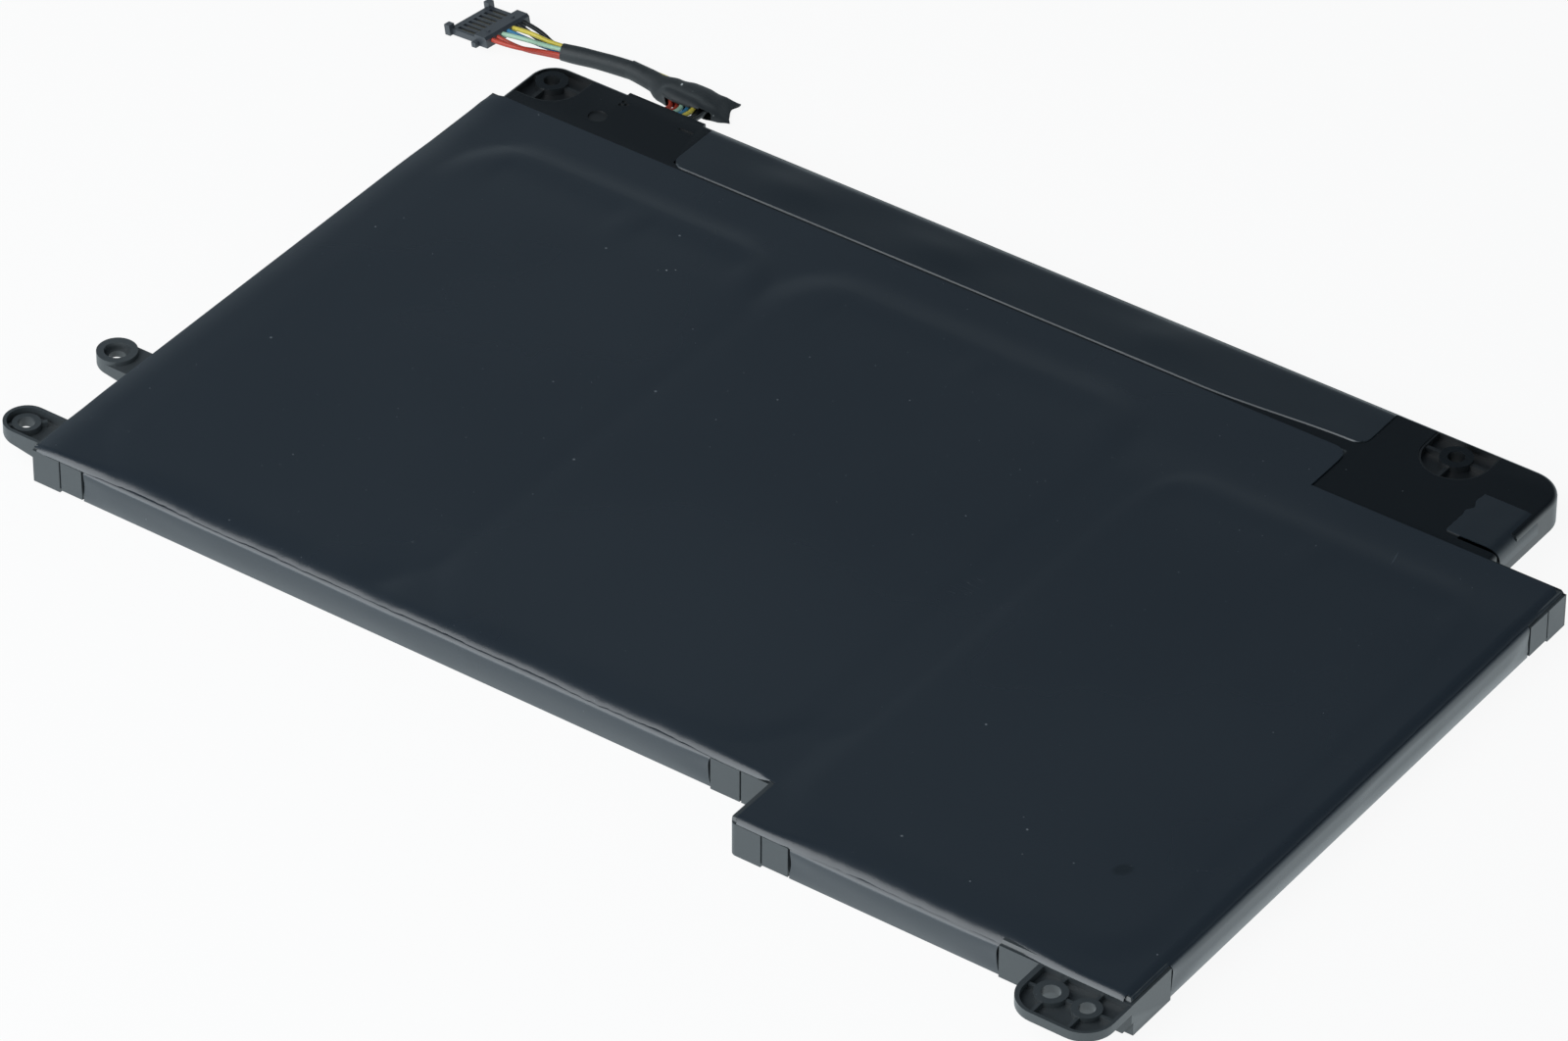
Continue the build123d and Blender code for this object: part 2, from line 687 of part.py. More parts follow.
# Top film
with BuildPart() as top_film:
    with BuildSketch(Plane.XY.offset(lip_z)):
        with BuildLine():
            Polyline(
                (left_x, front_y),
                (notch_x + notch_margin, front_y),
                (notch_x + notch_margin, nose_y),
                (right_x, nose_y),
                (right_x, step_y - film_margin),
                (step_x - film_margin, step_y - film_margin),
                (step_x - film_margin, back_y - film_margin),
                (left_x, back_y - film_margin),
                close=True,
            )
        make_face()
    extrude(amount=pack_height - lip_z)
    film_edges = top_film.edges().group_by(Axis.Z)[-1]
    film_front = film_edges.filter_by(Axis.X).group_by(Axis.Y)
    film_right = film_edges.filter_by(Axis.Y).sort_by(Axis.X)[-1:]
    fillet(film_front[0] + film_front[1] + film_right, radius=lip_radius)
    add(film_inside.part, mode=Mode.SUBTRACT)
    # The turned-down edge of the left part stops short of the notch wall
    with BuildSketch(Plane.XY.offset(lip_z)):
        area(notch_x - flap_gap, notch_x + notch_margin, front_y, front_y + lip_radius)
    extrude(amount=film_z - lip_z, mode=Mode.SUBTRACT)

# Bottom film with its three flaps
with BuildPart() as bottom_film:
    with BuildSketch(Plane.XY.offset(foot_height)):
        with BuildLine():
            Polyline(
                (left_x + under_margin, front_y + flap_inset),
                (notch_x + under_margin, front_y + flap_inset),
                (notch_x + under_margin, nose_y + flap_inset),
                (right_x - flap_inset, nose_y + flap_inset),
                (right_x - flap_inset, step_y - under_margin),
                (step_x - under_margin, step_y - under_margin),
                (step_x - under_margin, back_y - under_margin),
                (left_x + under_margin, back_y - under_margin),
                close=True,
            )
        make_face()
        for x_from, x_to, y_from, y_to in feet:
            area(
                x_from - flap_gap,
                x_to + flap_gap,
                y_from - flap_gap,
                y_to + flap_gap,
                mode=Mode.SUBTRACT,
            )
    extrude(amount=film)
    flap_top = pack_height - flap_drop
    flap_middle = (foot_height + flap_top) / 2
    for (flap_from, flap_to), wall_y in ((front_flap, front_y), (nose_flap, nose_y)):
        with BuildSketch(Plane.YZ.offset(flap_from + flap_gap)):
            with BuildLine():
                foot_place = (wall_y + flap_inset, foot_height)
                top_place = (wall_y + flap_inset, flap_top)
                ThreePointArc(foot_place, (wall_y - flap_bulge, flap_middle), top_place)
                Line(top_place, (wall_y + flap_inset + film, flap_top))
                ThreePointArc(
                    (wall_y + flap_inset + film, flap_top),
                    (wall_y - flap_bulge + film, flap_middle),
                    (wall_y + flap_inset + film, foot_height),
                )
                Line((wall_y + flap_inset + film, foot_height), foot_place)
            make_face()
        extrude(amount=flap_to - flap_from - 2 * flap_gap)
    with BuildSketch(Plane.XZ.offset(flap_gap - right_flap[1])):
        with BuildLine():
            foot_place = (right_x - flap_inset, foot_height)
            top_place = (right_x - flap_inset, flap_top)
            ThreePointArc(foot_place, (right_x + flap_bulge, flap_middle), top_place)
            Line(top_place, (right_x - flap_inset - film, flap_top))
            ThreePointArc(
                (right_x - flap_inset - film, flap_top),
                (right_x + flap_bulge - film, flap_middle),
                (right_x - flap_inset - film, foot_height),
            )
            Line((right_x - flap_inset - film, foot_height), foot_place)
        make_face()
    extrude(amount=right_flap[1] - right_flap[0] - 2 * flap_gap)

# Tape over the board channel, turned over the bar's back edge
with BuildPart() as board_tape:
    tape_x = roof_x
    tape_end_x = step_x + board_tape_right
    tape_y = back_y + board_tape_front
    with BuildSketch(Plane.YZ.offset(tape_x)):
        with BuildLine():
            outer_radius = board_tape_radius + film
            Line((tape_y, bar_top), (tape_y, bar_top + film))
            Line((tape_y, bar_top + film), (bar_y - board_tape_radius, bar_top + film))
            RadiusArc(
                (bar_y - board_tape_radius, bar_top + film),
                (bar_y + film, bar_top - board_tape_radius),
                outer_radius,
            )
            Line((bar_y + film, bar_top - board_tape_radius), (bar_y + film, bar_top - board_tape_flap))
            Line((bar_y + film, bar_top - board_tape_flap), (bar_y, bar_top - board_tape_flap))
            Line((bar_y, bar_top - board_tape_flap), (bar_y, bar_top - board_tape_radius))
            RadiusArc(
                (bar_y, bar_top - board_tape_radius),
                (bar_y - board_tape_radius, bar_top),
                -board_tape_radius,
            )
            Line((bar_y - board_tape_radius, bar_top), (tape_y, bar_top))
        make_face()
    extrude(amount=tape_end_x - tape_x)
    # Slanted front edge
    with BuildSketch(Plane.XY.offset(bar_top)):
        with BuildLine():
            Polyline(
                (tape_end_x - board_tape_slant_from_right, tape_y),
                (tape_end_x + wall, tape_y - wall),
                (tape_end_x + wall, tape_y + board_tape_slant),
                (tape_end_x, tape_y + board_tape_slant),
                close=True,
            )
        make_face()
    extrude(amount=film, mode=Mode.SUBTRACT)
    upright = board_tape.edges().filter_by(Axis.Z).filter_by(lambda e: e.center().Y < bar_y - bar_edge)
    fillet(upright.sort_by(Axis.X)[:1] + upright.sort_by(Axis.X)[-1:], radius=board_tape_corner)

# Tape over the bar's right end
with BuildPart() as end_tape:
    with BuildSketch(Plane.XZ.offset(-(step_y + end_tape_front + end_tape_width))):
        with BuildLine():
            end_x = bar_right_x
            Line((end_x - end_tape_length, bar_top), (end_x - end_tape_length, bar_top + film))
            Line((end_x - end_tape_length, bar_top + film), (end_x - end_tape_radius, bar_top + film))
            RadiusArc(
                (end_x - end_tape_radius, bar_top + film),
                (end_x + film, bar_top - end_tape_radius),
                end_tape_radius + film,
            )
            Line((end_x + film, bar_top - end_tape_radius), (end_x + film, bar_top - end_tape_flap))
            Line((end_x + film, bar_top - end_tape_flap), (end_x, bar_top - end_tape_flap))
            Line((end_x, bar_top - end_tape_flap), (end_x, bar_top - end_tape_radius))
            RadiusArc(
                (end_x, bar_top - end_tape_radius),
                (end_x - end_tape_radius, bar_top),
                -end_tape_radius,
            )
            Line((end_x - end_tape_radius, bar_top), (end_x - end_tape_length, bar_top))
        make_face()
    extrude(amount=end_tape_width)

# Pouch cells, their tabs and the adhesive under them
cells = []
cell_tabs = []
adhesives = []
cell_places = (
    ("left", left_cell_x, cell_y, left_tabs),
    ("middle", middle_cell_x, cell_y, middle_tabs),
    ("right", right_cell_x, cell_y - nose_step, right_tabs),
)
for side, x, y, tab_places in cell_places:
    with BuildPart() as cell:
        with BuildSketch(Plane.XZ.offset(-(y + cell_length))):
            with Locations((x, cell_z + cell_height / 2)):
                RectangleRounded(cell_width, cell_height, cell_edge)
        extrude(amount=cell_length)
        with BuildSketch(Plane.XY.offset(terrace_z)):
            half = cell_width / 2 - terrace_inset
            area(x - half, x + half, y + cell_length, y + cell_length + terrace_length)
        extrude(amount=terrace_thickness)
    cell.part.label = "cell_" + side
    cells.append(cell.part)
    with BuildPart() as tabs:
        with BuildSketch(Plane.XY.offset(board_top)):
            for tab_place in tab_places:
                half = tab_width / 2
                area(tab_place - half, tab_place + half, y + cell_length + terrace_length, tab_end_y)
        extrude(amount=tab_thickness)
    tabs.part.label = "tabs_" + side
    cell_tabs.append(tabs.part)
    with BuildPart() as sheet:
        with BuildSketch(Plane.XY.offset(floor_top)):
            with Locations((x, y + cell_length / 2)):
                Rectangle(cell_width - 2 * adhesive_margin, cell_length - 2 * adhesive_margin)
        extrude(amount=adhesive)
    sheet.part.label = "adhesive_" + side
    adhesives.append(sheet.part)

# Circuit board
board_left = channel_x + board_gap
board_right = channel_end_x - board_gap
board_front = back_y + bar_wall + board_gap
board_back = bar_y - bar_wall - board_gap
with BuildPart() as circuit_board:
    with BuildSketch(Plane.XY.offset(board_z)):
        area(board_left, board_right, board_front, board_back)
    extrude(amount=board_thickness)

# Chips, switches, resistor and fuse stand in a row along the board's back edge
part_y = board_back - part_from_edge
chip_x = middle_tabs[1] + tab_pitch
charge_x = chip_x + tab_pitch
discharge_x = charge_x + tab_pitch
resistor_x = discharge_x + tab_pitch
fuse_x = left_tabs[1] - tab_pitch
thermistor_x = resistor_x + tab_pitch / 2
capacitor_x = (left_tabs[0] + middle_tabs[0]) / 2
with BuildPart() as gauge_chip:
    with BuildSketch(Plane.XY.offset(board_top)):
        area(chip_x - chip_length / 2, chip_x + chip_length / 2, part_y - chip_width, part_y)
    extrude(amount=chip_height)
with BuildPart() as charge_switch:
    with BuildSketch(Plane.XY.offset(board_top)):
        area(charge_x - switch_length / 2, charge_x + switch_length / 2, part_y - switch_width, part_y)
    extrude(amount=switch_height)
with BuildPart() as discharge_switch:
    with BuildSketch(Plane.XY.offset(board_top)):
        half = switch_length / 2
        area(discharge_x - half, discharge_x + half, part_y - switch_width, part_y)
    extrude(amount=switch_height)
with BuildPart() as sense_resistor:
    with BuildSketch(Plane.XY.offset(board_top)):
        half = resistor_length / 2
        area(resistor_x - half, resistor_x + half, part_y - resistor_width, part_y)
    extrude(amount=resistor_height)
with BuildPart() as fuse:
    with BuildSketch(Plane.XY.offset(board_top)):
        area(fuse_x - fuse_length / 2, fuse_x + fuse_length / 2, part_y - fuse_width, part_y)
    extrude(amount=fuse_height)
with BuildPart() as thermistor:
    with BuildSketch(Plane.XY.offset(board_top)):
        half = thermistor_length / 2
        area(thermistor_x - half, thermistor_x + half, part_y - thermistor_width, part_y)
    extrude(amount=thermistor_height)
with BuildPart() as chip_capacitors:
    with BuildSketch(Plane.XY.offset(board_top)):
        with Locations((capacitor_x, part_y - capacitor_length / 2)):
            with GridLocations(capacitor_pitch, 1, capacitor_count, 1):
                Rectangle(capacitor_width, capacitor_length)
    extrude(amount=capacitor_height)

# Joints where the wires are fixed to the board
joint_back = board_back - joint_from_edge
with BuildPart() as solder_joints:
    with BuildSketch(Plane.XY.offset(board_top)):
        for n in range(-3, 4):
            x = exit_x + n * exit_pitch
            area(x - joint_width / 2, x + joint_width / 2, joint_back - joint_length, joint_back)
    extrude(amount=joint_height)

# Places of the wires in the bundle, seen along it: sideways and upwards
step = wire_diameter + bundle_clearance
rise = step * sin(radians(60))
bundle = [
    (-step, 0),
    (-step / 2, -rise),
    (-step / 2, rise),
    (0, 0),
    (step / 2, rise),
    (step / 2, -rise),
    (step, 0),
]

# The cable's route behind the bar, measured from the middle of its mouth
sleeve_radius = step + wire_diameter / 2 + sleeve_gap + sleeve_wall
sleeve_z = sleeve_radius
turn_y = 11.3
bundle_route = [(-12.0, 11.5), (-20.5, 10.45), (-28.6, 8.35)]
plug_place = (-36.7, 7.2)
turn = radians(plug_turn)
tilt = radians(plug_tilt)
plug_rise = (plug_rail_width + nose_length + ear_length / 2) * sin(tilt)
plug_plane = Plane(
    origin=(exit_x + plug_place[0], bar_y + plug_place[1], plug_rise),
    x_dir=(cos(turn) * cos(tilt), -sin(turn) * cos(tilt), sin(tilt)),
    z_dir=(-cos(turn) * sin(tilt), sin(turn) * sin(tilt), cos(tilt)),
)
wire_z = board_top + joint_height / 2
wire_names = (
    "red_wire_1",
    "red_wire_2",
    "green_wire",
    "blue_wire",
    "yellow_wire",
    "black_wire_1",
    "black_wire_2",
)
wires = []
for n, wire_name in enumerate(wire_names):
    side, up = bundle[n]
    wire_x = exit_x + (n - 3) * exit_pitch
    plug_y = (n - 3) * plug_pitch
    route = [
        (wire_x, joint_back, wire_z),
        (wire_x, bar_y + 1.3, wire_z - 0.15),
        (wire_x, bar_y + turn_y + side - 4.4, sleeve_z + 0.55 + 0.3 * up),
        (wire_x - 4.2, bar_y + turn_y + side, sleeve_z + up),
    ]
    for x, y in bundle_route:
        route.append((exit_x + x, bar_y + y + side, sleeve_z + up))
    fan = (4.2, 0.93 * plug_y, plug_wire_height - 0.3 + 0.9 * up)
    for place in (fan, (0, plug_y, plug_wire_height)):
        world = plug_plane.from_local_coords(Vector(*place))
        route.append((world.X, world.Y, world.Z))
    radii = arc_radii(route)
    with BuildPart() as wire:
        with BuildLine():
            path = FilletPolyline(*route, radius=radii)
        with BuildSketch(Plane(origin=path @ 0, z_dir=path % 0)):
            RegularPolygon(wire_diameter / 2, wire_sides)
        sweep()
    wire.part.label = wire_name
    wires.append(wire.part)
    section = wire.part.volume / path.length
    print(wire_name, "length", round(path.length, 2), "section", round(section, 4))
    print("  radii", [round(r, 1) for r in radii])

# Sleeve round the bundle, a little shorter than it
bundle_points = [Vector(exit_x + x, bar_y + y, sleeve_z) for x, y in bundle_route]
sleeve_start = bundle_points[0] + (bundle_points[1] - bundle_points[0]).normalized() * sleeve_set_back
sleeve_end = bundle_points[2] + (bundle_points[1] - bundle_points[2]).normalized() * sleeve_set_back
with BuildPart() as cable_sleeve:
    with BuildLine():
        bend = arc_radii([tuple(point) for point in bundle_points])
        sleeve_path = FilletPolyline(sleeve_start, bundle_points[1], sleeve_end, radius=bend)
    with BuildSketch(Plane(origin=sleeve_path @ 0, z_dir=sleeve_path % 0)):
        RegularPolygon(sleeve_radius, sleeve_sides)
        Circle(sleeve_radius - sleeve_wall, mode=Mode.SUBTRACT)
    sweep()

# Folded wrap where the wires turn into the bundle: place along x, middle along y, width, height
wrap_x = sleeve_start.X - exit_x + wrap_gap
wrap_height = 2 * sleeve_radius
wrap_sections = [
    (wrap_x, 11.2, wrap_height + 0.8, wrap_height),
    (-6.3, 10.4, 6.6, wrap_height),
    (3.6, 11.7, 6.0, wrap_height),
    (6.0, 12.4, 6.2, 0.9),
]
with BuildPart() as wrap_inside:
    for x, y, width, height in wrap_sections[:3]:
        with BuildSketch(Plane.YZ.offset(exit_x + x)) as fold:
            with Locations((bar_y + y, height / 2)):
                Rectangle(width - 2 * wrap_wall, height - 2 * wrap_wall)
            chamfer(fold.vertices(), length=wrap_corner * (height - 2 * wrap_wall))
    loft(ruled=True)
with BuildPart() as cable_wrap:
    for x, y, width, height in wrap_sections:
        with BuildSketch(Plane.YZ.offset(exit_x + x)) as fold:
            with Locations((bar_y + y, height / 2)):
                Rectangle(width, height)
            chamfer(fold.vertices(), length=wrap_corner * height)
    loft(ruled=True)
    add(wrap_inside.part, mode=Mode.SUBTRACT)
    # Mouth for the wires, in the fold's open front
    with BuildSketch(Plane.XY.offset(wrap_wall)):
        mouth_x = exit_x - mouth / 2 - wrap_mouth_side
        area(mouth_x, exit_x + mouth / 2, bar_y, bar_y + wrap_mouth_reach)
    extrude(amount=wrap_height - 2 * wrap_wall, mode=Mode.SUBTRACT)

# Plug on the cable's end
with BuildPart() as connector_housing:
    with BuildSketch(plug_plane):
        area(-plug_rail_width, 0, -plug_length / 2, plug_length / 2)
    extrude(amount=plug_height)
    back_and_up = Axis(plug_plane.origin, plug_plane.x_dir + plug_plane.z_dir)
    chamfer(connector_housing.edges().sort_by(back_and_up)[-1], length=plug_slope)
    nose_half = plug_length / 2 - nose_end_gap
    with BuildSketch(plug_plane):
        area(-plug_rail_width - nose_length, -plug_rail_width, -nose_half, nose_half)
    extrude(amount=nose_height)
    with BuildSketch(plug_plane.offset(nose_height - slot_depth)):
        slot_x = -plug_rail_width - nose_length + slot_front_rim + slot_length / 2
        with Locations((slot_x, 0)):
            with GridLocations(1, plug_pitch, 1, slot_count):
                Rectangle(slot_length, slot_width)
    extrude(amount=slot_depth, mode=Mode.SUBTRACT)
    ear_x = -plug_rail_width - nose_length
    with BuildSketch(plug_plane):
        with Locations((ear_x, nose_half), (ear_x, -nose_half)):
            Rectangle(ear_length, ear_width)
    extrude(amount=ear_height)
    # Small hook at the near end of the rail
    with BuildSketch(plug_plane):
        hook_y = -plug_length / 2
        area(-plug_rail_width, hook_width - plug_rail_width, hook_y - hook_length, hook_y)
    extrude(amount=hook_height)
    with BuildSketch(plug_plane.offset(plug_height)):
        with Locations((-plug_rail_width * 0.6, 0)):
            with GridLocations(1, pip_pitch, 1, 2):
                Circle(pip_radius)
    extrude(amount=pip_height)

# Contacts in the plug's slots
with BuildPart() as connector_contacts:
    with BuildSketch(plug_plane.offset(nose_height - slot_depth)):
        with Locations((slot_x, 0)):
            with GridLocations(1, plug_pitch, 1, slot_count):
                Rectangle(contact_length, contact_thickness)
    extrude(amount=contact_height)

frame.part.label = "frame"
top_film.part.label = "top_film"
bottom_film.part.label = "bottom_film"
board_tape.part.label = "board_tape"
end_tape.part.label = "end_tape"
circuit_board.part.label = "circuit_board"
gauge_chip.part.label = "gauge_chip"
charge_switch.part.label = "charge_switch"
discharge_switch.part.label = "discharge_switch"
sense_resistor.part.label = "sense_resistor"
fuse.part.label = "fuse"
thermistor.part.label = "thermistor"
chip_capacitors.part.label = "chip_capacitors"
solder_joints.part.label = "solder_joints"
cable_sleeve.part.label = "cable_sleeve"
cable_wrap.part.label = "cable_wrap"
connector_housing.part.label = "connector_housing"
connector_contacts.part.label = "connector_contacts"

pieces = [
    frame.part,
    top_film.part,
    bottom_film.part,
    board_tape.part,
    end_tape.part,
    circuit_board.part,
    gauge_chip.part,
    charge_switch.part,
    discharge_switch.part,
    sense_resistor.part,
    fuse.part,
    thermistor.part,
    chip_capacitors.part,
    solder_joints.part,
    cable_sleeve.part,
    cable_wrap.part,
    connector_housing.part,
    connector_contacts.part,
]
for piece in pieces + cells + cell_tabs + adhesives + wires:
    export_step(piece, "parts/" + piece.label + ".step")
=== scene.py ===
"""Laptop battery pack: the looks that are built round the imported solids."""
import logging
import math
from dataclasses import dataclass
from enum import Enum
from typing import Callable

import bmesh
import bpy
from mathutils import Matrix, Vector, noise


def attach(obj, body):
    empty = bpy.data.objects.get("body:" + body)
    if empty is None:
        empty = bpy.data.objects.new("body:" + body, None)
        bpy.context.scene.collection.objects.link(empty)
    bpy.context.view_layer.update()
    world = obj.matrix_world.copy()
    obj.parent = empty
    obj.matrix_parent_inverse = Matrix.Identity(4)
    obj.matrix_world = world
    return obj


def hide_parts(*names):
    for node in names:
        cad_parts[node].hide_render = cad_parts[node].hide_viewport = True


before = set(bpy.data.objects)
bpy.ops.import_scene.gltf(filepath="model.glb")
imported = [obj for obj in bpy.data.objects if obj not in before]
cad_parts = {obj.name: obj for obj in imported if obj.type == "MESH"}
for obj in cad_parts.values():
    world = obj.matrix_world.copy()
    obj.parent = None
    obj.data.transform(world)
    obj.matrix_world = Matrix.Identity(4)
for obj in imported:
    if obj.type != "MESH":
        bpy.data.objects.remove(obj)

LOG = logging.getLogger("battery_pack")
MM = 0.001
BODY = "root"
UP = Vector((0.0, 0.0, 1.0))
WHITE = (1.0, 1.0, 1.0, 1.0)
Colour = tuple[float, float, float]
Point = tuple[float, float, float]
Four = tuple[float, float, float, float]
Rows = tuple[tuple[float, ...], ...]
Route = tuple[Point, ...]
Feeds = dict[int | str, object]
Tree = bpy.types.NodeTree
Node = bpy.types.Node
Socket = bpy.types.NodeSocket
Sockets = bpy.types.NodeOutputs
Piece = bpy.types.Object
Sheet = bmesh.types.BMesh


class Slot(Enum):
    """The record's material slots."""

    FRAME = "frame_plastic"
    FILM = "film"
    TAPE = "tape"
    POUCH = "pouch"
    TAB = "tab_metal"
    ADHESIVE = "adhesive"
    BOARD = "board"
    CHIP = "chip_body"
    RESISTOR = "resistor"
    CERAMIC = "ceramic"
    SOLDER = "solder"
    RED = "red_insulation"
    GREEN = "green_insulation"
    BLUE = "blue_insulation"
    YELLOW = "yellow_insulation"
    BLACK = "black_insulation"
    CLOTH = "cloth"
    PLUG = "plug_plastic"
    CONTACT = "contact_metal"


def ease(low: float, high: float, value: float) -> float:
    """Goes smoothly from 0 at low to 1 at high, where low may be the larger.

    Args:
        low: the value that gives 0.
        high: the value that gives 1.
        value: the value to place between them.

    Returns:
        The share from 0 to 1.
    """
    t = min(1.0, max(0.0, (value - low) / (high - low)))
    return t * t * (3.0 - 2.0 * t)


def hump(value: float, centre: float, width: float) -> float:
    """A rounded hump of height 1 at centre, with the given half width."""
    return math.exp(-(((value - centre) / width) ** 2))


def wander(seed: float, u: float, v: float = 0.0) -> float:
    """Smooth wandering between about -1 and 1, the same on each run."""
    return noise.noise(Vector((u, v, seed)))


def fold(share: float, tilt: float, power: float) -> tuple[float, float]:
    """How far a bending sheet runs and drops along its fold.

    Args:
        share: the place along the fold, 0 at its start and 1 at its end.
        tilt: the slope at the end, in radians.
        power: how late the slope comes.

    Returns:
        The run and the drop, for a fold of length 1.
    """
    steps = 16
    slopes = [tilt * (share * (k + 0.5) / steps) ** power for k in range(steps)]
    run = sum(math.cos(slope) for slope in slopes)
    drop = sum(math.sin(slope) for slope in slopes)
    return run * share / steps, drop * share / steps


def along(table: Rows, place: float) -> list[float]:
    """Reads a table of places and sizes between its rows.

    Args:
        table: rows that start with a place, in rising order.
        place: where to read.

    Returns:
        The sizes there.
    """
    place = min(max(place, table[0][0]), table[-1][0])
    for before, after in zip(table, table[1:]):
        if place <= after[0]:
            share = ease(before[0], after[0], place)
            return [a + (b - a) * share for a, b in zip(before[1:], after[1:])]
    return list(table[-1][1:])


def roll_over(run: float, radius: float) -> tuple[float, float]:
    """How far ahead and down a sheet gets that rolls over an edge and then hangs straight."""
    turn = min(run / radius, math.pi / 2)
    return radius * math.sin(turn), radius * (1.0 - math.cos(turn)) + max(0.0, run - radius * math.pi / 2)


def round_corner(u: float, v: float, corner: Four, radius: float) -> tuple[float, float]:
    """Pulls a point of a flat sheet in to a rounded corner.

    Args:
        u: the point's place along x.
        v: the point's place along y.
        corner: the corner's place, and the side of the sheet that it is on along x and y, as 1 or -1.
        radius: the corner's radius.

    Returns:
        The point's new place.
    """
    x, y, right, back = corner
    dx, dy = right * (u - x) + radius, back * (v - y) + radius
    far = math.hypot(dx, dy)
    if dx > 0.0 and dy > 0.0 and far > radius:
        return x + right * (dx * radius / far - radius), y + back * (dy * radius / far - radius)
    return u, v


class Graph:
    """A node tree with short calls that add nodes and join them."""

    def __init__(self, tree: Tree) -> None:
        """Keeps the tree."""
        self.tree = tree

    def feed(self, node: Node, feeds: Feeds) -> Node:
        """Joins an output to each numbered or named input of a node, or sets it to a constant."""
        for key, value in feeds.items():
            if isinstance(value, Socket):
                self.tree.links.new(value, node.inputs[key])
            else:
                node.inputs[key].default_value = value
        return node

    def add(self, kind: str, feeds: Feeds | None = None, **settings: object) -> Node:
        """Adds a node.

        Args:
            kind: the node's type name without its ShaderNode prefix.
            feeds: what goes into its inputs, by number or name.
            settings: properties to set on the node before that.

        Returns:
            The new node.
        """
        node = self.tree.nodes.new("ShaderNode" + kind)
        for key, value in settings.items():
            setattr(node, key, value)
        return self.feed(node, feeds or {})

    def maths(self, operation: str, a: object, b: object = 0.0, clamp: bool = False) -> Socket:
        """Adds a Math node and returns its result."""
        return self.add("Math", {0: a, 1: b}, operation=operation, use_clamp=clamp).outputs[0]

    def blend(self, share: object, a: object, b: object) -> Socket:
        """Mixes two colours by a share and returns the colour."""
        return self.add("Mix", {0: share, 6: a, 7: b}, data_type="RGBA").outputs[2]

    def span(self, value: object, low: object, high: object, start: object = 0.0, end: object = 1.0) -> Socket:
        """Maps low to start and high to end with smooth ends, and returns the result."""
        feeds = dict(enumerate((value, low, high, start, end)))
        return self.add("MapRange", feeds, interpolation_type="SMOOTHSTEP").outputs[0]

    def cloud(self, vector: object, scale: object, detail: float = 3.0, rough: float = 0.55) -> Socket:
        """Adds a noise texture and returns its value."""
        feeds = {"Vector": vector, "Scale": scale, "Detail": detail, "Roughness": rough}
        return self.add("TexNoise", feeds).outputs["Fac"]

    def marks(self, tree: Tree, vector: Socket, scale: float, amount: float) -> Socket:
        """Places a group that scatters marks and returns where they are."""
        feeds = {"Vector": vector, "Scale": scale, "Amount": amount}
        return self.add("Group", feeds, node_tree=tree).outputs["Mask"]


def open_group(name: str, inputs: tuple[str, ...], outputs: tuple[str, ...]) -> tuple[Graph, Sockets, Node]:
    """Starts a shader node group that takes a vector and numbers.

    Args:
        name: the group's name.
        inputs: the names of the numbers that go in.
        outputs: the names of the numbers that come out.

    Returns:
        The graph, the sockets that bring what goes in, and the group's output node.
    """
    tree = bpy.data.node_groups.new(name, "ShaderNodeTree")
    tree.interface.new_socket("Vector", in_out="INPUT", socket_type="NodeSocketVector")
    for direction, labels in (("INPUT", inputs), ("OUTPUT", outputs)):
        for label in labels:
            tree.interface.new_socket(label, in_out=direction, socket_type="NodeSocketFloat")
    return Graph(tree), tree.nodes.new("NodeGroupInput").outputs, tree.nodes.new("NodeGroupOutput")


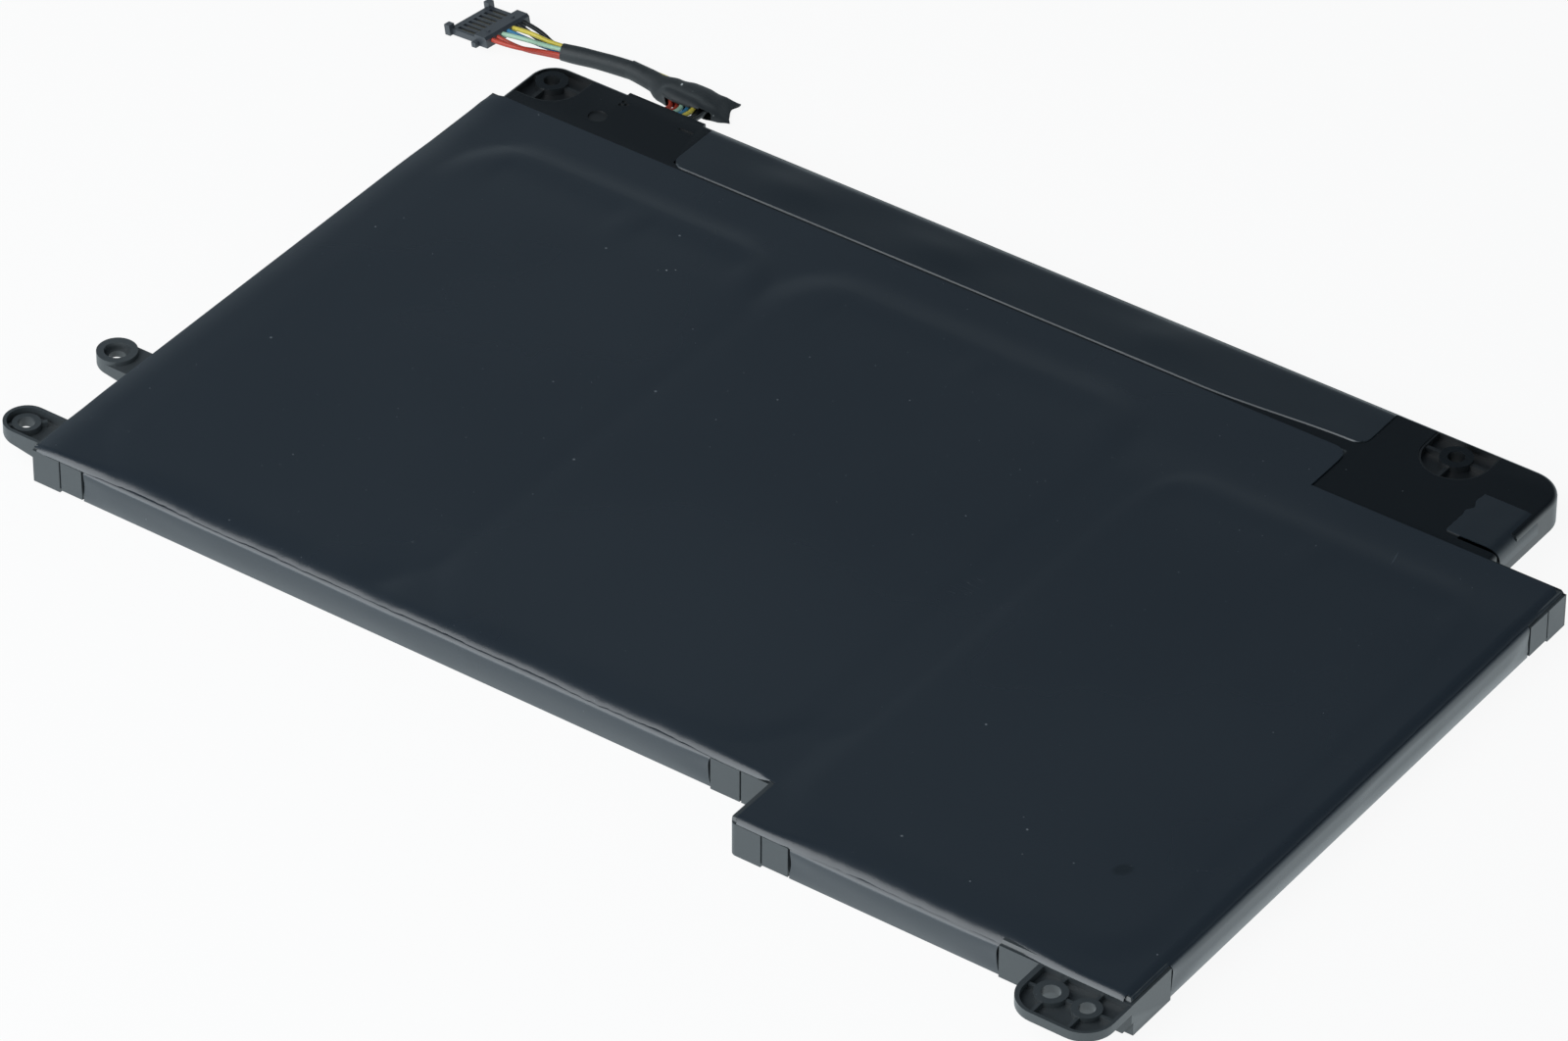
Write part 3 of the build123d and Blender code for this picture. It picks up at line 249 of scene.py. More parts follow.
class Effects:
    """Node groups that several finishes share."""

    def __init__(self) -> None:
        """Builds each group once."""
        self.surface = self._surface()
        self.flecks = self._flecks()
        self.hairlines = self._hairlines()

    def _surface(self) -> Tree:
        """Cloudy tone, fine grain and their sum as a height."""
        numbers = ("Tone Scale", "Grain Scale")
        graph, given, end = open_group("surface_tone_and_grain", numbers, ("Tone", "Grain", "Height"))
        tone = graph.cloud(given["Vector"], given["Tone Scale"], 4.0, 0.6)
        grain = graph.cloud(given["Vector"], given["Grain Scale"], 2.0, 0.6)
        height = graph.maths("ADD", grain, graph.maths("MULTIPLY", tone, 0.4))
        graph.feed(end, {"Tone": graph.span(tone, 0.3, 0.7), "Grain": graph.span(grain, 0.25, 0.75), "Height": height})
        return graph.tree

    def _flecks(self) -> Tree:
        """Scattered dust flecks of mixed sizes."""
        graph, given, end = open_group("dust_flecks", ("Scale", "Amount"), ("Mask",))
        cells = graph.add("TexVoronoi", {"Vector": given["Vector"], "Scale": given["Scale"]}).outputs
        parts = graph.add("SeparateColor", {0: cells["Color"]}).outputs
        there = graph.maths("GREATER_THAN", parts[0], graph.maths("SUBTRACT", 1.0, given["Amount"]))
        size = graph.maths("ADD", graph.maths("MULTIPLY", graph.maths("POWER", parts[1], 4.0), 0.09), 0.028)
        round_spot = graph.span(cells["Distance"], size, graph.maths("MULTIPLY", size, 0.5))
        graph.feed(end, {"Mask": graph.maths("MULTIPLY", there, round_spot)})
        return graph.tree

    def _hairlines(self) -> Tree:
        """Short thin scratches in patches."""
        graph, given, end = open_group("hairline_scratches", ("Scale", "Amount"), ("Mask",))
        turn = {"Vector": given["Vector"], "Rotation": (0.0, 0.0, 0.7), "Scale": (1.0, 14.0, 1.0)}
        lines = graph.cloud(graph.add("Mapping", turn).outputs[0], given["Scale"], 1.0, 0.4)
        patches = graph.cloud(given["Vector"], graph.maths("MULTIPLY", given["Scale"], 0.5), 2.0)
        thin = graph.span(graph.maths("ABSOLUTE", graph.maths("SUBTRACT", lines, 0.5)), 0.012, 0.0)
        from_here = graph.maths("SUBTRACT", 0.78, graph.maths("MULTIPLY", given["Amount"], 0.2))
        near = graph.span(patches, from_here, 0.8)
        graph.feed(end, {"Mask": graph.maths("MULTIPLY", thin, near)})
        return graph.tree


@dataclass(frozen=True)
class Spot:
    """A single speck or nick, seen from above: its place and radius in millimetres, and its colour."""

    x: float
    y: float
    radius: float
    colour: Colour
    stretch: float = 1.0
    turn: float = 0.0


@dataclass(frozen=True)
class Finish:
    """A surface finish: its colours, gloss, grain and marks.

    Colours are linear; lengths in the grain are in metres.
    """

    name: str
    colour: Colour
    light: Colour
    roughness: float
    rough_spread: float = 0.06
    metallic: float = 0.0
    specular: float = 0.5
    tone_scale: float = 40.0
    grain_scale: float = 2500.0
    grain_tint: float = 0.3
    grain_depth: float = 0.00002
    dust: float = 0.0
    dust_scale: float = 420.0
    dust_colour: Colour = (0.42, 0.43, 0.42)
    scratches: float = 0.0
    scratch_scale: float = 90.0
    spots: tuple[Spot, ...] = ()

    def make(self, effects: Effects) -> bpy.types.Material:
        """Builds the material.

        Args:
            effects: the shared node groups.

        Returns:
            The material.
        """
        material = bpy.data.materials.new(self.name)
        material.use_nodes = True
        graph = Graph(material.node_tree)
        shader = material.node_tree.nodes["Principled BSDF"]
        place = graph.add("TexCoord").outputs["Object"]
        scales = {"Vector": place, "Tone Scale": self.tone_scale, "Grain Scale": self.grain_scale}
        surface = graph.add("Group", scales, node_tree=effects.surface).outputs
        share = graph.maths(
            "ADD",
            graph.maths("MULTIPLY", surface["Tone"], 1.0 - self.grain_tint),
            graph.maths("MULTIPLY", surface["Grain"], self.grain_tint),
        )
        colour = graph.blend(share, (*self.colour, 1.0), (*self.light, 1.0))
        smooth, dull = self.roughness - self.rough_spread, self.roughness + self.rough_spread
        rough = graph.span(surface["Tone"], 0.0, 1.0, smooth, dull)
        colour, rough = self.mark(graph, effects, place, colour, rough)
        bump = graph.add("Bump", {"Distance": self.grain_depth, "Height": surface["Height"]}).outputs[0]
        graph.feed(shader, {"Base Color": colour, "Roughness": rough, "Normal": bump})
        graph.feed(shader, {"Metallic": self.metallic, "Specular IOR Level": self.specular})
        return material

    def mark(
        self, graph: Graph, effects: Effects, place: Socket, colour: Socket, rough: Socket
    ) -> tuple[Socket, Socket]:
        """Adds scratches, dust and single spots to the colour and the roughness.

        Args:
            graph: the material's graph.
            effects: the shared node groups.
            place: the coordinates.
            colour: the colour so far.
            rough: the roughness so far.

        Returns:
            The colour and the roughness with the marks.
        """
        if self.scratches > 0.0:
            lines = graph.marks(effects.hairlines, place, self.scratch_scale, self.scratches)
            faint = graph.maths("MULTIPLY", lines, 0.35)
            colour = graph.blend(faint, colour, (0.12, 0.13, 0.14, 1.0))
            rough = graph.maths("ADD", rough, graph.maths("MULTIPLY", faint, 0.3), True)
        if self.dust > 0.0:
            flecks = graph.marks(effects.flecks, place, self.dust_scale, self.dust)
            fine = graph.marks(effects.flecks, place, self.dust_scale * 2.7, self.dust)
            both = graph.maths("MAXIMUM", flecks, fine)
            colour = graph.blend(graph.maths("MULTIPLY", both, 0.8), colour, (*self.dust_colour, 1.0))
            rough = graph.maths("ADD", rough, graph.maths("MULTIPLY", both, 0.3), True)
        for spot in self.spots:
            lie = {
                "Vector": place,
                "Location": (spot.x * MM, spot.y * MM, 0.0),
                "Rotation": (0.0, 0.0, math.radians(spot.turn)),
                "Scale": (spot.stretch, 1.0, 1.0),
            }
            turned = graph.add("Mapping", lie, vector_type="TEXTURE").outputs[0]
            level = graph.add("VectorMath", {0: turned, 1: (1.0, 1.0, 0.0)}, operation="MULTIPLY").outputs[0]
            reach = graph.add("VectorMath", {0: level}, operation="LENGTH").outputs["Value"]
            mask = graph.span(reach, spot.radius * MM, spot.radius * MM * 0.5)
            colour = graph.blend(mask, colour, (*spot.colour, 1.0))
        return colour, rough


@dataclass(frozen=True)
class MouldedFinish(Finish):
    """A moulding whose bar is polished on top; lengths are in metres."""

    polished: Colour = (0.0055, 0.0075, 0.0092)
    polished_roughness: float = 0.16
    polished_from: Point = (0.0635, 0.0514, 0.0063)
    bar_from: float = 0.0622
    blur: float = 0.0002

    def mark(
        self, graph: Graph, effects: Effects, place: Socket, colour: Socket, rough: Socket
    ) -> tuple[Socket, Socket]:
        """Polishes the bar, then adds scratches and dust; see Finish.mark."""
        parts = graph.add("SeparateXYZ", {0: place}).outputs
        past = [graph.span(parts[axis], edge, edge + self.blur) for axis, edge in zip("XYZ", self.polished_from)]
        bar = graph.span(parts["Y"], self.bar_from, self.bar_from + self.blur)
        bar = graph.maths("MAXIMUM", bar, graph.maths("MULTIPLY", past[0], past[1]))
        colour = graph.blend(bar, colour, (*self.polished, 1.0))
        rough = graph.span(graph.maths("MULTIPLY", bar, past[2]), 0.0, 1.0, rough, self.polished_roughness)
        return super().mark(graph, effects, place, colour, rough)


class Finishes:
    """Every finish of the pack, by material slot."""

    def __init__(self) -> None:
        """Builds the materials."""
        effects = Effects()
        self.of: dict[Slot, bpy.types.Material] = {
            slot: finish.make(effects) for slot, finish in self.table().items()
        }

    def table(self) -> dict[Slot, Finish]:
        """The finishes' values."""
        film = dict(
            rough_spread=0.02, specular=1.0, tone_scale=9.0, grain_depth=0.000012, dust=0.2,
            dust_colour=(0.16, 0.18, 0.2), scratches=0.25,
        )
        pale = (0.3, 0.32, 0.33)
        film_spots = (
            Spot(84.4, 43.4, 0.1, (0.06, 0.075, 0.09), 22.0, -76.0),
            Spot(92.3, -42.3, 1.5, (0.012, 0.018, 0.024), 1.4, 60.0),
            Spot(-48.7, 38.7, 0.2, pale),
            Spot(-47.6, 39.6, 0.13, pale),
            Spot(-49.8, 37.9, 0.1, pale),
        )
        wire = dict(roughness=0.38, tone_scale=120.0, grain_scale=1500.0, grain_depth=0.000015)
        return {
            Slot.FILM: Finish(
                "satin_film", (0.0195, 0.0272, 0.0365), (0.021, 0.0292, 0.039), 0.27, spots=film_spots, **film
            ),
            Slot.TAPE: Finish("board_tape_film", (0.0175, 0.024, 0.031), (0.02, 0.027, 0.0345), 0.3, **film),
            Slot.FRAME: MouldedFinish(
                "moulded_plastic", (0.036, 0.043, 0.047), (0.044, 0.052, 0.057), 0.42, 0.05, specular=1.0,
                grain_depth=0.000012, dust=0.12, dust_colour=(0.16, 0.18, 0.2), scratches=0.35,
            ),
            Slot.POUCH: Finish(
                "pouch_foil", (0.33, 0.34, 0.35), (0.42, 0.43, 0.44), 0.36, metallic=0.75, tone_scale=90.0,
                grain_scale=700.0, grain_depth=0.00006,
            ),
            Slot.TAB: Finish("nickel_tab", (0.48, 0.46, 0.41), (0.6, 0.58, 0.53), 0.3, metallic=1.0),
            Slot.ADHESIVE: Finish("adhesive_sheet", (0.55, 0.54, 0.5), (0.68, 0.67, 0.63), 0.55),
            Slot.BOARD: Finish(
                "board_mask", (0.006, 0.05, 0.022), (0.012, 0.085, 0.035), 0.34, tone_scale=420.0, grain_tint=0.15
            ),
            Slot.CHIP: Finish("chip_moulding", (0.012, 0.012, 0.013), (0.02, 0.02, 0.022), 0.5),
            Slot.RESISTOR: Finish("resistor_glaze", (0.02, 0.022, 0.026), (0.05, 0.053, 0.06), 0.35),
            Slot.CERAMIC: Finish("capacitor_ceramic", (0.3, 0.2, 0.11), (0.42, 0.29, 0.17), 0.45),
            Slot.SOLDER: Finish("solder_metal", (0.55, 0.56, 0.58), (0.7, 0.71, 0.73), 0.28, metallic=1.0),
            Slot.RED: Finish("red_wire_skin", (0.56, 0.062, 0.036), (0.68, 0.09, 0.055), **wire),
            Slot.GREEN: Finish("green_wire_skin", (0.4, 0.64, 0.46), (0.5, 0.74, 0.57), **wire),
            Slot.BLUE: Finish("blue_wire_skin", (0.045, 0.22, 0.43), (0.07, 0.3, 0.54), **wire),
            Slot.YELLOW: Finish("yellow_wire_skin", (0.74, 0.58, 0.07), (0.86, 0.7, 0.12), **wire),
            Slot.BLACK: Finish("black_wire_skin", (0.008, 0.009, 0.01), (0.014, 0.015, 0.017), **wire),
            Slot.CLOTH: Finish(
                "shrink_wrap", (0.028, 0.033, 0.036), (0.038, 0.044, 0.048), 0.58, tone_scale=200.0,
                grain_scale=1300.0, grain_depth=0.00006, dust=0.15, dust_scale=500.0,
                spots=(Spot(-80.4, 86.4, 0.5, (0.62, 0.64, 0.64), 0.45, 20.0),),
            ),
            Slot.PLUG: Finish(
                "plug_moulding", (0.034, 0.04, 0.05), (0.046, 0.053, 0.064), 0.4, specular=0.8, tone_scale=200.0,
                dust=0.12,
            ),
            Slot.CONTACT: Finish("contact_plate", (0.62, 0.5, 0.26), (0.75, 0.62, 0.36), 0.26, metallic=1.0),
        }


def make_mesh(name: str, bm: Sheet) -> bpy.types.Mesh:
    """Turns a bmesh, which is freed, into a mesh."""
    mesh = bpy.data.meshes.new(name)
    bm.to_mesh(mesh)
    bm.free()
    return mesh


def put(name: str, data: bpy.types.ID) -> Piece:
    """Makes an object of a mesh, curve, lamp or camera and links it to the scene."""
    obj = bpy.data.objects.new(name, data)
    bpy.context.scene.collection.objects.link(obj)
    return obj


class Workshop:
    """Turns built meshes into dressed pieces of the pack."""

    def __init__(self, finishes: Finishes) -> None:
        """Keeps the finishes."""
        self.finishes = finishes

    def piece(
        self, name: str, bm: Sheet, slot: Slot, *nodes: str, crease: float = 40.0, shell: float = 0.0
    ) -> Piece:
        """Makes an object of a mesh in millimetres, dresses it and lets it stand for CAD nodes.

        Args:
            name: the piece's name.
            bm: the mesh in millimetres, which is freed.
            slot: the material slot.
            nodes: the CAD nodes that the piece replaces.
            crease: the angle in degrees past which an edge stays sharp.
            shell: the thickness that a sheet gets behind its face, or 0 for a closed mesh.

        Returns:
            The object.
        """
        bmesh.ops.scale(bm, vec=(MM, MM, MM), verts=bm.verts)
        for face in bm.faces:
            face.smooth = True
        for edge in bm.edges:
            edge.smooth = edge.is_manifold and edge.calc_face_angle(0.0) < math.radians(crease)
        obj = put(name, make_mesh(name, bm))
        if shell > 0.0:
            solid = obj.modifiers.new("sheet_thickness", "SOLIDIFY")
            solid.thickness = shell * MM
            solid.offset = -1.0
        return self.dress(obj, slot, *nodes)

    def film(self, name: str, bm: Sheet, slot: Slot, node: str) -> Piece:
        """Makes a thin film of a sheet in millimetres; see piece."""
        return self.piece(name, bm, slot, node, crease=55.0, shell=0.2)

    def dress(self, obj: Piece, slot: Slot, *nodes: str) -> Piece:
        """Gives a new object its finish, its body and the nodes that it stands for."""
        self.coat(obj, slot)
        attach(obj, BODY)
        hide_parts(*nodes)
        return obj

    def coat(self, obj: Piece, slot: Slot) -> None:
        """Gives an object its finish."""
        obj.data.materials.clear()
        obj.data.materials.append(self.finishes.of[slot])
        LOG.info("coated %s", obj.name)

    def eased_copy(self, node: str, name: str, slot: Slot, width: float, segments: int = 2) -> Piece:
        """Copies a CAD node, merges it and rounds its edges.

        Args:
            node: the CAD node.
            name: the new piece's name.
            slot: the material slot.
            width: the rounding's width in millimetres.
            segments: steps across the rounding.

        Returns:
            The piece, which replaces the node.
        """
        sharp = 35.0
        bm = bmesh.new()
        bm.from_mesh(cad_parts[node].data)
        bmesh.ops.remove_doubles(bm, verts=bm.verts, dist=1e-6)
        bmesh.ops.dissolve_limit(bm, angle_limit=math.radians(1.0), verts=bm.verts, edges=bm.edges)
        bmesh.ops.scale(bm, vec=(1 / MM, 1 / MM, 1 / MM), verts=bm.verts)
        obj = self.piece(name, bm, slot, node, crease=sharp)
        bevel = obj.modifiers.new("eased_edges", "BEVEL")
        bevel.width = width * MM
        bevel.segments = segments
        bevel.limit_method = "ANGLE"
        bevel.angle_limit = math.radians(sharp)
        bevel.harden_normals = True
        return obj


def flat_grid(x0: float, x1: float, y0: float, y1: float, step: float, rows: float = 0.0) -> Sheet:
    """A level grid of cells.

    Args:
        x0: left edge.
        x1: right edge.
        y0: front edge.
        y1: back edge.
        step: the cells' size.
        rows: their size along y where that differs.

    Returns:
        The grid as a bmesh.
    """
    bm = bmesh.new()
    middle = Vector(((x0 + x1) / 2, (y0 + y1) / 2, 0.0))
    half = Matrix.Diagonal(((x1 - x0) / 2, (y1 - y0) / 2, 1.0, 1.0))
    bmesh.ops.create_grid(
        bm,
        x_segments=max(1, round((x1 - x0) / step)),
        y_segments=max(1, round((y1 - y0) / (rows or step))),
        size=1.0,
        matrix=Matrix.Translation(middle) @ half,
    )
    return bm


def cut_lines(bm: Sheet, axis: int, places: list[float]) -> None:
    """Cuts a level grid along straight lines.

    Args:
        bm: the grid.
        axis: 0 cuts across x, 1 cuts across y.
        places: where the cuts lie on that axis.
    """
    normal = Vector((1.0, 0.0, 0.0)) if axis == 0 else Vector((0.0, 1.0, 0.0))
    for place in places:
        geom = bm.verts[:] + bm.edges[:] + bm.faces[:]
        bmesh.ops.bisect_plane(bm, geom=geom, dist=1e-5, plane_co=normal * place, plane_no=normal)


def keep_faces(bm: Sheet, inside: Callable[[float, float], bool]) -> None:
    """Deletes the faces whose middle isn't inside."""
    gone = [f for f in bm.faces if not inside(*f.calc_center_median().xy)]
    bmesh.ops.delete(bm, geom=gone, context="FACES")


def reshape(bm: Sheet, move: Callable[[Vector], Vector]) -> None:
    """Moves each vertex to where the function puts it."""
    for vert in bm.verts:
        vert.co = move(vert.co.copy())


def face_towards(bm: Sheet, outward: Vector) -> None:
    """Makes a sheet's faces agree and look mostly towards a direction."""
    bmesh.ops.remove_doubles(bm, verts=bm.verts, dist=0.01)
    bmesh.ops.recalc_face_normals(bm, faces=bm.faces)
    if sum(f.normal.dot(outward) * f.calc_area() for f in bm.faces) < 0.0:
        bmesh.ops.reverse_faces(bm, faces=bm.faces)


@dataclass
class CellPad:
    """The raised part that a cell makes in the film.

    Sizes are in millimetres: the pad's sides, its corner radius, how far the film falls past the back,
    the front and the two sides, over which width, and the dip in front of the ridge along its back.
    """

    x0: float
    x1: float
    y0: float
    y1: float
    radius: float
    back_fall: float
    front_fall: float
    left_fall: float
    right_fall: float
    width: float
    dip: float
    lobes: Rows

    def outside(self, x: float, y: float) -> float:
        """How far a point lies outside the pad, negative inside."""
        qx = abs(x - (self.x0 + self.x1) / 2) - (self.x1 - self.x0) / 2 + self.radius
        qy = abs(y - (self.y0 + self.y1) / 2) - (self.y1 - self.y0) / 2 + self.radius
        return math.hypot(max(qx, 0.0), max(qy, 0.0)) + min(max(qx, qy), 0.0) - self.radius

    def fall(self, x: float, y: float) -> float:
        """How far the film lies below its crest at a point."""
        gap = self.outside(x, y + 0.9 * wander(71.0, x / 11.0) * ease(0.0, self.y0, y))
        at_back = ease(self.y1 - 14.0, self.y1 - 2.0, y)
        at_front = ease(self.y0 + 12.0, self.y0 + 2.0, y)
        side = self.left_fall if x < (self.x0 + self.x1) / 2 else self.right_fall
        depth = side + (self.back_fall - side) * at_back + (self.front_fall - side) * at_front
        inside = max(ease(a - 1.0, a + 2.5, x) * ease(b + 1.0, b - 2.5, x) for a, b in self.lobes)
        behind = y - self.y1
        dip = self.dip * inside * hump(behind, -4.4, 2.3 if behind > -4.4 else 5.0)
        return depth * ease(-0.5, self.width, gap) + dip


@dataclass
class TopFilm:
    """The film over the three cells, turned down at the front and right edges."""

    left: float = -100.9
    right: float = 109.6
    notch: float = 39.6
    front: float = -55.3
    nose: float = -65.8
    back: float = 62.3
    step_x: float = 64.0
    step_y: float = 51.5
    crest: float = 7.0
    lowest: float = 6.5
    lip_rows: float = 0.9
    side_fold: Four = (2.6, math.radians(42.0), 1.4, 0.5)
    left_reach: float = 5.0
    step: float = 0.75
    rows: float = 1.6
    stiff: Four = (1.6, math.radians(62.0), 1.5, 0.0)
    front_slack: Four = (4.2, math.radians(35.0), 2.1, 0.45)
    nose_slack: Four = (4.6, math.radians(39.0), 1.9, 0.6)
    front_sag: Four = (-97.0, -82.0, 37.0, 19.0)
    nose_sag: Four = (44.0, 57.0, 101.0, 82.0)
    corner_radius: float = 2.4
    pads: tuple[CellPad, ...] = (
        CellPad(-91.5, -36.2, -48.8, 51.0, 9.0, 0.5, 0.26, 0.06, 0.05, 6.4, 0.09, ((-88.0, -62.7), (-59.8, -38.7))),
        CellPad(-28.5, 32.0, -48.8, 50.8, 8.0, 0.27, 0.26, 0.05, 0.06, 5.4, 0.045, ((-22.7, 4.3), (6.3, 28.3))),
        CellPad(44.6, 101.4, -57.6, 41.6, 7.0, 0.5, 0.24, 0.18, 0.17, 5.8, 0.05, ((47.0, 72.0), (75.0, 99.0))),
    )

    def sag(self, x: float) -> float:
        """How far the front fold sags between the stiff blocks, from 0 to 1."""
        left, left_full, right, right_full = self.front_sag if x < self.notch else self.nose_sag
        return ease(left, left_full, x) * ease(right, right_full, x)

    def front_fold(self, x: float) -> tuple[float, float, float, float, float]:
        """The front fold at one place.

        Args:
            x: the place along the front.

        Returns:
            The wall's place, the fold's reach behind it, its slope at the edge, how late that comes, and how
            far behind the wall the edge stays.
        """
        sag = self.sag(x)
        at_nose = x > self.notch - 1e-4
        loose = self.nose_slack if at_nose else self.front_slack
        reach, tilt, power, back = (a + (b - a) * sag for a, b in zip(self.stiff, loose))
        reach += 0.5 * sag * wander(1.3, x / 15.0)
        back += sag * (0.3 * wander(9.2, x / 12.0) + 0.16 * wander(5.7, x / 1.3))
        tilt += 0.1 * sag * wander(3.1, x / 9.0)
        return (self.nose if at_nose else self.front), reach, tilt, power, max(back, 0.0)

    def height(self, x: float, y: float) -> float:
        """The film's height over the pack, before the edges turn down."""
        fall = min(pad.fall(x, y) for pad in self.pads)
        valley = 0.17 * hump(x, -37.0, 5.0 if x < -37.0 else 3.2) * ease(-36.0, -49.0, y)
        soft = 0.01 * wander(8.0, x / 26.0, y / 26.0) - 0.01
        corner = 0.2 * hump(x, self.left, 4.5) * hump(y, self.back, 4.5)
        return max(self.crest - fall - valley + soft + corner, self.lowest)

    def place(self, p: Vector) -> Vector:
        """Where a point of the flat sheet comes to lie."""
        u, v = x, y = p.x, p.y
        if u <= self.right:
            corners = (self.step_x, self.back, 1.0), (self.left, self.back, -1.0), (self.right, self.step_y, 1.0)
            for corner in corners:
                x, y = round_corner(x, y, (*corner, 1.0), self.corner_radius)
        wall, reach, tilt, power, back = self.front_fold(u)
        fall = 0.0
        if v < wall + reach:
            fade = 1.0 if u > self.notch - 1e-4 else ease(self.notch, self.notch - 3.5, u)
            length = (reach - back) / fold(1.0, tilt, power)[0]
            run, drop = fold((wall + reach - v) / (reach + self.lip_rows), tilt, power)
            y = (wall + reach - run * length) * fade + max(v, wall) * (1.0 - fade)
            fall += drop * length * fade
        reach, tilt, power, back = self.side_fold
        if u > self.right - reach:
            length = (reach - back - 0.12 * wander(11.0, v / 2.0)) / fold(1.0, tilt, power)[0]
            run, drop = fold((u - self.right + reach) / (reach + self.lip_rows), tilt, power)
            x = self.right - reach + run * length
            fall += drop * length
        if u < self.left + self.left_reach:
            share = (self.left + self.left_reach - u) / self.left_reach
            fall += 0.36 * share**2.2
        z = self.height(x, y) - fall
        return Vector((x, y, min(z, self.crest)))

    def covers(self, x: float, y: float) -> bool:
        """Whether the flat sheet has film at a place."""
        before_notch = x < self.notch
        bare = (
            before_notch and y < self.front - self.lip_rows,
            before_notch and y < self.front and (x > self.notch - 1.4 or x < self.left + 1.0),
            x > self.step_x and y > self.step_y,
            y < self.nose + 0.8 and x > self.right - 0.8,
            y < self.nose and x < self.notch + 0.6,
        )
        return not any(bare)

    def build(self, shop: Workshop) -> Piece:
        """Builds the film.

        Args:
            shop: makes and dresses the piece.

        Returns:
            The film.
        """
        right, front = self.right + self.lip_rows, self.nose - self.lip_rows
        bm = flat_grid(self.left, right, front, self.back, self.step, self.rows)
        rows = [self.front - self.lip_rows]
        for wall in (self.front, self.nose):
            rows += [wall + 0.3 * k for k in range(-2, 21)]
        cut_lines(bm, 1, rows + [self.step_y, self.step_y - 0.6, self.back - 0.6])
        columns = [self.right + d for d in (-2.6, -2.2, -1.8, -1.4, -1.0, -0.6, -0.3, 0.0, 0.3, 0.6)]
        columns += [self.left + d for d in (0.3, 0.6)]
        cut_lines(bm, 0, columns + [self.notch, self.step_x, self.step_x - 0.6])
        keep_faces(bm, self.covers)
        reshape(bm, self.place)
        face_towards(bm, UP)
        return shop.film("top_film_sheet", bm, Slot.FILM, "top_film")


class Wall(Enum):
    """An outer wall that a flap of the under film comes up: its place, and the flap's rise and two ends."""

    FRONT = (-55.3, 5.8, -91.3, 27.8)
    NOSE = (-65.8, 5.8, 49.3, 86.6)
    RIGHT = (109.6, 6.25, -55.6, 41.9)

    def __init__(self, place: float, rise: float, start: float, end: float) -> None:
        """Names the values, which are in millimetres."""
        self.place, self.rise, self.start, self.end = place, rise, start, end


@dataclass
class UnderFilm:
    """The film below the pack, with three flaps that come up the front and right walls."""

    left: float = -99.7
    right: float = 108.4
    back: float = 61.3
    level: float = 0.36
    foot: float = 0.06
    bulge: float = 0.18
    foot_tuck: float = 0.54
    top_tuck: float = 1.0
    end_tuck: float = 0.3
    lean: tuple[float, float] = (0.34, 0.31)
    inset: float = 1.2
    notch: float = 38.7
    step: tuple[float, float] = (64.5, 52.0)

    def flap(self, wall: Wall) -> Sheet:
        """Builds one flap as a bulging sheet.

        Args:
            wall: the wall that it covers.

        Returns:
            The flap's mesh.
        """
        start, end, at_right = wall.start, wall.end, wall is Wall.RIGHT
        bm = flat_grid(start, end, 0.0, 1.0, 1.6)
        cut_lines(bm, 1, [k / 24 for k in range(1, 24)])
        cut_lines(bm, 0, [start + 0.4, start + 0.8, end - 0.8, end - 0.4])

        def curl(p: Vector) -> Vector:
            """Bends the flat strip up the wall."""
            t = p.y
            near_end = min(p.x - start, end - p.x)
            pull = 0.5 * math.sin(math.pi * t) * ease(1.6, 0.0, near_end)
            lengthwise = p.x + (pull if p.x - start < end - p.x else -pull)
            swell = math.sin(math.pi * min(1.0, t * 1.1)) ** 2
            ripple = 0.2 * wander(21.0 + wall.place, p.x / 13.0, t * 0.9) * swell
            belly = wall.rise * (self.lean[0] * t - self.lean[1] * t * t)
            out = self.bulge - self.foot_tuck + belly - self.top_tuck * t**8
            out -= self.end_tuck * ease(6.0, 0.0, near_end) * swell
            out = min(out, self.bulge - 0.02) + min(0.0, ripple) if at_right else out + ripple
            z = self.foot + wall.rise * (1.2 * t - 0.2 * t**6)
            return Vector((wall.place + out, lengthwise, z) if at_right else (lengthwise, wall.place - out, z))

        reshape(bm, curl)
        face_towards(bm, Vector((1.0, 0.0, 0.0) if at_right else (0.0, -1.0, 0.0)))
        return bm

    def floor_sheet(self) -> Sheet:
        """Builds the level sheet below the cells."""
        notch_x, notch_y = self.notch + self.inset, Wall.FRONT.place + self.inset
        step_x, step_y = self.step[0] - self.inset, self.step[1] - self.inset
        bm = flat_grid(self.left, self.right, Wall.NOSE.place + self.inset, self.back, 2.5)
        cut_lines(bm, 0, [notch_x, step_x])
        cut_lines(bm, 1, [notch_y, step_y])
        keep_faces(bm, lambda x, y: not ((x < notch_x and y < notch_y) or (x > step_x and y > step_y)))
        reshape(bm, lambda p: Vector((p.x, p.y, self.level + 0.05 * wander(31.0, p.x / 20.0, p.y / 20.0))))
        face_towards(bm, -UP)
        return bm

    def build(self, shop: Workshop) -> Piece:
        """Builds the film with its flaps as one piece."""
        whole = bmesh.new()
        for part in [self.floor_sheet(), *(self.flap(wall) for wall in Wall)]:
            scratch = make_mesh("under_film_part", part)
            whole.from_mesh(scratch)
            bpy.data.meshes.remove(scratch)
        return shop.film("under_film_sheet", whole, Slot.FILM, "bottom_film")


